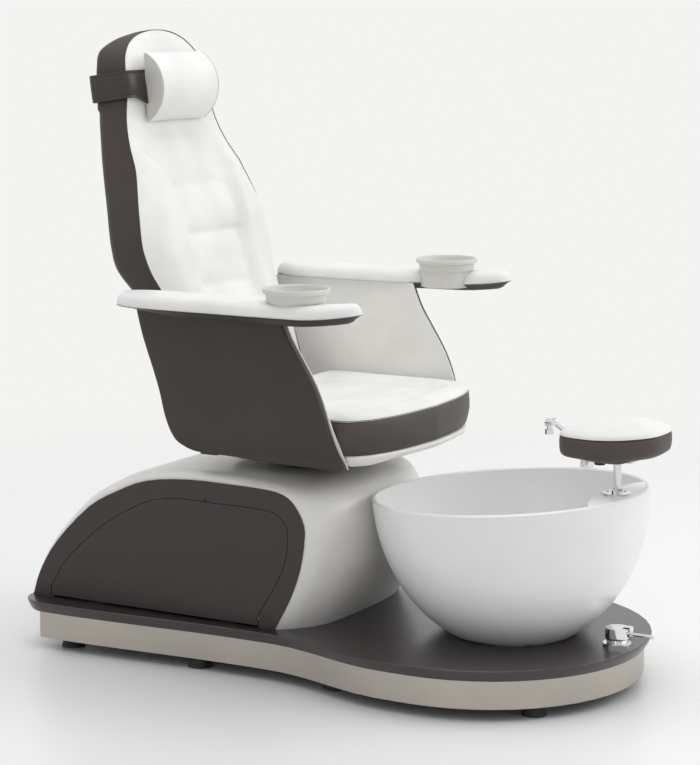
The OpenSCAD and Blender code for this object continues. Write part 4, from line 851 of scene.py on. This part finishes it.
def make_cushion():
    rings = []
    for out, share in SEAT_BORDER:
        z = CUSHION_Z + share * (CUSHION_TOP_Z - CUSHION_Z)
        flat = inset(seat_loop(cushion_half_w(z), CUSHION_REAR, CUSHION_REACH), -out)
        rings.append(np.c_[flat, np.full(SEAT_POINTS, z)])
    # The border is in the lighter copy of the dark leather, which paints in the key lamp's light
    base = loft("seat_border", rings, ["leather_dark_lit"])
    put(base, "seat", ["cushion_base"])

    w = cushion_half_w(CUSHION_TOP_Z)
    loop = seat_loop(w, CUSHION_REAR, CUSHION_REACH)
    centre = np.array([0, 20])
    roll = 12
    rings = [np.c_[inset(loop, 4), np.full(SEAT_POINTS, CUSHION_TOP_Z + 0.3)]]
    pins = [np.ones(SEAT_POINTS, bool)]
    for t in np.linspace(0, 0.985, 44):
        flat = centre + (1 - t**1.5) * (loop - centre)
        d = edge_distance(flat, loop)
        relief, seam = seat_relief(flat[:, 0], flat[:, 1])
        swellfall = smooth(d / 40)
        z = CUSHION_TOP_Z + 2 + roll - 3 - rounded(d, roll) + relief * swellfall
        rings.append(np.c_[flat, z])
        pins.append(seam | (d < 2))
    top = loft("seat_cover", rings, ["leather_white"])
    swell(top, np.concatenate(pins), 4.0, 7)
    put(top, "seat", ["cushion_top"])
    line = np.c_[inset(loop, 1.5), np.full(SEAT_POINTS, CUSHION_TOP_Z + 0.2)]
    put(tube("seat_piping", line, 1.5, "leather_dark"), "seat")


PAN_REAR = 240
PAN_LIP = 5
CORNER_DROP = 8


def make_tub():
    """White tray under the cushion, with a lip that rolls under."""
    w = WALL_OUT - WALL_T - LINER_T - WALL_TUCK - 0.3
    outer = seat_loop(w, PAN_REAR, CUSHION_REACH + PAN_LIP)
    profile = [
        (1.2, CUSHION_Z), (0, CUSHION_Z - 1.2), (0, CUSHION_Z - 5), (3, CUSHION_Z - 10), (9, CUSHION_Z - 14),
        (17, SEAT_Z),
    ]
    rings = []
    for d, z in reversed(profile):
        flat = inset(outer, d)
        corner = smooth((np.abs(flat[:, 0]) - 130) / 80) * smooth(-flat[:, 1] / 60)
        share = np.clip((CUSHION_Z - 5 - z) / (CUSHION_Z - 5 - SEAT_Z), 0, 1)
        rings.append(np.c_[flat, z - CORNER_DROP * corner * share])
    put(loft("seat_tub", rings, ["shell_white"]), "seat", ["seat_pan"])


# ---------- Armrests ----------

# Left armrest from above, counter-clockwise from its rear end
ARM_SHAPE = [
    (316, 396), (286, 376), (267, 325), (264, 200), (266, 70), (278, 34), (298, 4), (305, -50), (300, -100),
    (300, -148), (312, -174), (336, -183), (362, -166), (383, -120), (389, -50), (390, 100), (387, 300),
    (362, 368),
]
ARM_CENTRE = np.array([335, 100])
ARM_POINTS = 180
ARM_BASE_T = 14
ARM_PAD_T = 25
ARM_ROLL = 19
ARM_UNDER = 26
# The white leather also covers the underside between the lining and the inner edge
ARM_INSIDE_X = 284
ARM_INSIDE_Y = 34
TIP_START = -70
TIP_RISE = 11
CUP_PLACE = (323, -32)
POCKET_R = 57.3


def tip_lift(y):
    return TIP_RISE * np.clip((TIP_START - y) / 113, 0, 1) ** 1.5


def cut_pocket(piece, side):
    """Round pocket for the bowl's ring."""
    bpy.ops.mesh.primitive_cylinder_add(vertices=96, radius=POCKET_R * MM, depth=0.064, location=(
        side * CUP_PLACE[0] * MM, CUP_PLACE[1] * MM, 0.800))
    tool = bpy.context.object
    cut = piece.modifiers.new("pocket", "BOOLEAN")
    cut.operation = "DIFFERENCE"
    cut.solver = "EXACT"
    cut.object = tool
    shown = piece.evaluated_get(bpy.context.evaluated_depsgraph_get())
    mesh = bpy.data.meshes.new_from_object(shown)
    piece.modifiers.remove(cut)
    piece.data = mesh
    bpy.data.objects.remove(tool)


def arm_rings(profile_z, count=30):
    loop = even(spline(ARM_SHAPE, 5, closed=True), ARM_POINTS, closed=True)
    rings = []
    for t in np.linspace(0, 0.985, count):
        flat = ARM_CENTRE + (1 - t**1.7) * (loop - ARM_CENTRE)
        rings.append(np.c_[flat, profile_z(flat, edge_distance(flat, loop))])
    return rings


def make_armrests():
    for side, label in ((-1, "right"), (1, "left")):

        def pad_z(flat, d):
            top = ARM_SEAM_Z + 2.5 + (ARM_PAD_T - 2.5) * (1 - rounded(d, ARM_ROLL) / ARM_ROLL)
            return top + 1.2 * smooth(d / 40) + tip_lift(flat[:, 1]) * 0.85

        def base_z(flat, d):
            taper = 0.12 + 0.88 * smooth((392 - flat[:, 1]) / 190)
            reach = ARM_UNDER - 15 * ridge(flat[:, 1] - CUP_PLACE[1], 62)
            return ARM_SEAM_Z - 0.3 - ARM_BASE_T * taper * smooth(d / reach) + tip_lift(flat[:, 1])

        rings = arm_rings(pad_z)
        floor = rings[0].copy()
        floor[:, :2] = inset(floor[:, :2], 1.5)
        floor[:, 2] = ARM_SEAM_Z + 0.2 + tip_lift(floor[:, 1])
        rings = [(r * (side, 1, 1)) for r in [floor] + rings]
        pad = loft("arm_cover_" + label, rings, ["leather_white"])
        cut_pocket(pad, side)
        put(pad, "seat", ["armrest_pad_" + label])
        under = arm_rings(base_z, 20)
        lid = under[0].copy()
        lid[:, :2] = inset(lid[:, :2], 1.2)
        lid[:, 2] = ARM_SEAM_Z + tip_lift(lid[:, 1])
        rings = [(r * (side, 1, 1)) for r in [lid] + under]
        base = loft("arm_under_" + label, rings, ["leather_dark", "leather_white"])
        centres = [face.center / MM for face in base.data.polygons]
        inside = [abs(c.x) < ARM_INSIDE_X and c.y > ARM_INSIDE_Y for c in centres]
        base.data.polygons.foreach_set("material_index", inside)
        cut_pocket(base, side)
        put(base, "seat", ["armrest_base_" + label])


# Bowl from its foot outwards, up and back in: radius and height above the ring
BOWL_PROFILE = [
    (46.7, -30.7), (51.7, -25.7), (51.7, -0.1), (51.8, 0), (58.6, 0), (59.4, 0.8), (60.2, 4), (61.2, 12),
    (61.6, 15), (62.4, 16.2), (66, 17), (67.2, 17.8), (67.5, 19), (67.5, 25.4), (67, 26.5), (66, 27),
    (64.6, 27), (63.8, 26.3), (62.5, 22), (58.5, 8), (48.5, -18), (46.5, -23.5), (43, -26.8), (38, -27.7),
    (12, -27.7),
]
RING_TOP_Z = 803
BOWL_STEPS = 128


def make_bowls():
    turn = np.linspace(0, 2 * math.pi, BOWL_STEPS, endpoint=False)
    circle = np.stack([np.cos(turn), np.sin(turn)], axis=1)
    for side, label in ((-1, "right"), (1, "left")):
        centre = np.array([side * CUP_PLACE[0], CUP_PLACE[1]])
        rings = []
        for r, h in [(12, -30.7)] + BOWL_PROFILE:
            rings.append(np.c_[centre + r * circle, np.full(BOWL_STEPS, RING_TOP_Z + h)])
        bowl = loft("hand_bowl_" + label, rings, ["cup_grey"], sharp=35)
        put(bowl, "cup_" + label, ["manicure_bowl_" + label])


# ---------- Footrest ----------

# Half of the footrest from above, front to rear, in half widths and half lengths
REST_SHAPE = [
    (0, -1), (0.52, -0.92), (0.9, -0.56), (1, -0.12), (0.88, 0.3), (0.62, 0.72), (0.32, 0.95), (0, 1),
]
REST_HALF_W = 98
REST_LEN = 220
REST_Y = -575
REST_Z = 491
REST_BORDER = 46
REST_CROWN = 28
REST_LIFT = 12
REST_SLOPE = 0.07
REST_POINTS = 120


def make_footrest():
    half = np.array(REST_SHAPE)
    shape = np.vstack([half, half[-2:0:-1] * (-1, 1)]) * (REST_HALF_W, REST_LEN / 2) + (0, REST_Y)
    loop = even(spline(shape, 6, closed=True), REST_POINTS, closed=True)

    def sloped(flat, z, share):
        return np.c_[flat, z - share * REST_SLOPE * (flat[:, 1] - REST_Y)]

    def under(flat, z):
        front, rear = (smooth(s * (flat[:, 1] - REST_Y) * 2 / REST_LEN) for s in (-1, 1))
        return np.c_[flat, z + 1.5 + (REST_LIFT - 1) * front - 5 * rear]

    low = inset(loop, 15)
    rings = [np.c_[low, REST_Z + 9 * smooth((REST_Y - 40 - low[:, 1]) / 40)]]
    for depth, height in ((6, 2.5), (2.5, 5), (0.6, 10), (-0.6, 16)):
        rings.append(under(inset(loop, depth), REST_Z + height))
    for depth, height, share in ((-1.2, 32, 0.6), (-0.4, REST_BORDER - 3, 0.95), (1.8, REST_BORDER, 1)):
        rings.append(sloped(inset(loop, depth), REST_Z + height, share))
    # The border is in the lighter copy of the dark leather, which paints in the key lamp's light
    base = loft("footrest_border", rings, ["leather_dark_lit"])
    put(base, "footrest", ["footrest_base"])
    top_z = REST_Z + REST_BORDER
    centre = np.array([0, REST_Y])
    rings, pins = [sloped(inset(loop, 2.5), top_z + 0.2, 1)], [np.ones(REST_POINTS, bool)]
    for t in np.linspace(0, 0.98, 26):
        flat = centre + (1 - t**1.5) * (loop - centre)
        d = edge_distance(flat, loop)
        heel = 0.85 + 0.4 * smooth((REST_Y + 40 - flat[:, 1]) / 100)
        dome = np.sin(np.clip(d / 88, 0, 1) * math.pi / 2)
        rise = 1 + 7 * (1 - rounded(d, 9) / 9) + (REST_CROWN - 8) * dome * heel
        rings.append(sloped(flat, top_z + rise, 1))
        pins.append(d < 2)
    top = loft("footrest_cover", rings, ["leather_white"])
    swell(top, np.concatenate(pins), 3.0, 3)
    put(top, "footrest", ["footrest_top"])
    line = sloped(inset(loop, 0.8), top_z, 1)
    put(tube("footrest_piping", line, 1.3, "leather_dark"), "footrest")


# ---------- Pedestal doors ----------

# Door edge from the rear up and forward: y and share of the panel's height
DOOR_EDGE = [
    (638, 0.05), (637, 0.09), (625, 0.144), (593, 0.307), (493, 0.6), (387, 0.796), (310, 0.852), (225, 0.85),
    (92, 0.845), (52, 0.795), (37, 0.69), (50, 0.43), (109, 0.09), (110, 0.05), (110, 0.03),
]
DOOR_GAP = 1.5
PANEL_H = 295


def make_door_gap_shade():
    """Dark strips in the gap between each door and its panel: painted shade for the dark gap line."""
    for side, label in ((-1, "right"), (1, "left")):
        low, high = span("side_panel_" + label)
        line = np.array([(y, low[2] + share * PANEL_H) for y, share in DOOR_EDGE])
        line = even(inset(spline(line, 4), -DOOR_GAP / 2), 160)[3:]
        x = (low[0] + high[0]) / 2
        path = np.c_[np.full(len(line), x), line]
        # Black strip along the gap: painted shade
        put(tube("door_gap_shade_" + label, path, 0.55, "foot_black", closed=False, sides=6), "base")


BACKDROP = (0.90, 0.90, 0.885)
bpy.context.scene.view_settings.view_transform = "Standard"
add_camera()
add_world(0.76, 0.78, BACKDROP)
add_floor(BACKDROP)
add_lamp("key", (2.1, -3.5, 3.0), (0, 0, 0.5), (3.0, 3.0), 60)
add_lamp("top", (-0.4, 0.2, 4.4), (0, 0, 0.6), (3.5, 3.5), 60)
paints = make_materials()
dress_frame(paints)
make_back()
make_back_shell()
make_headrest()
make_strap()
make_walls()
make_cushion()
make_tub()
make_armrests()
make_bowls()
make_footrest()
make_door_gap_shade()
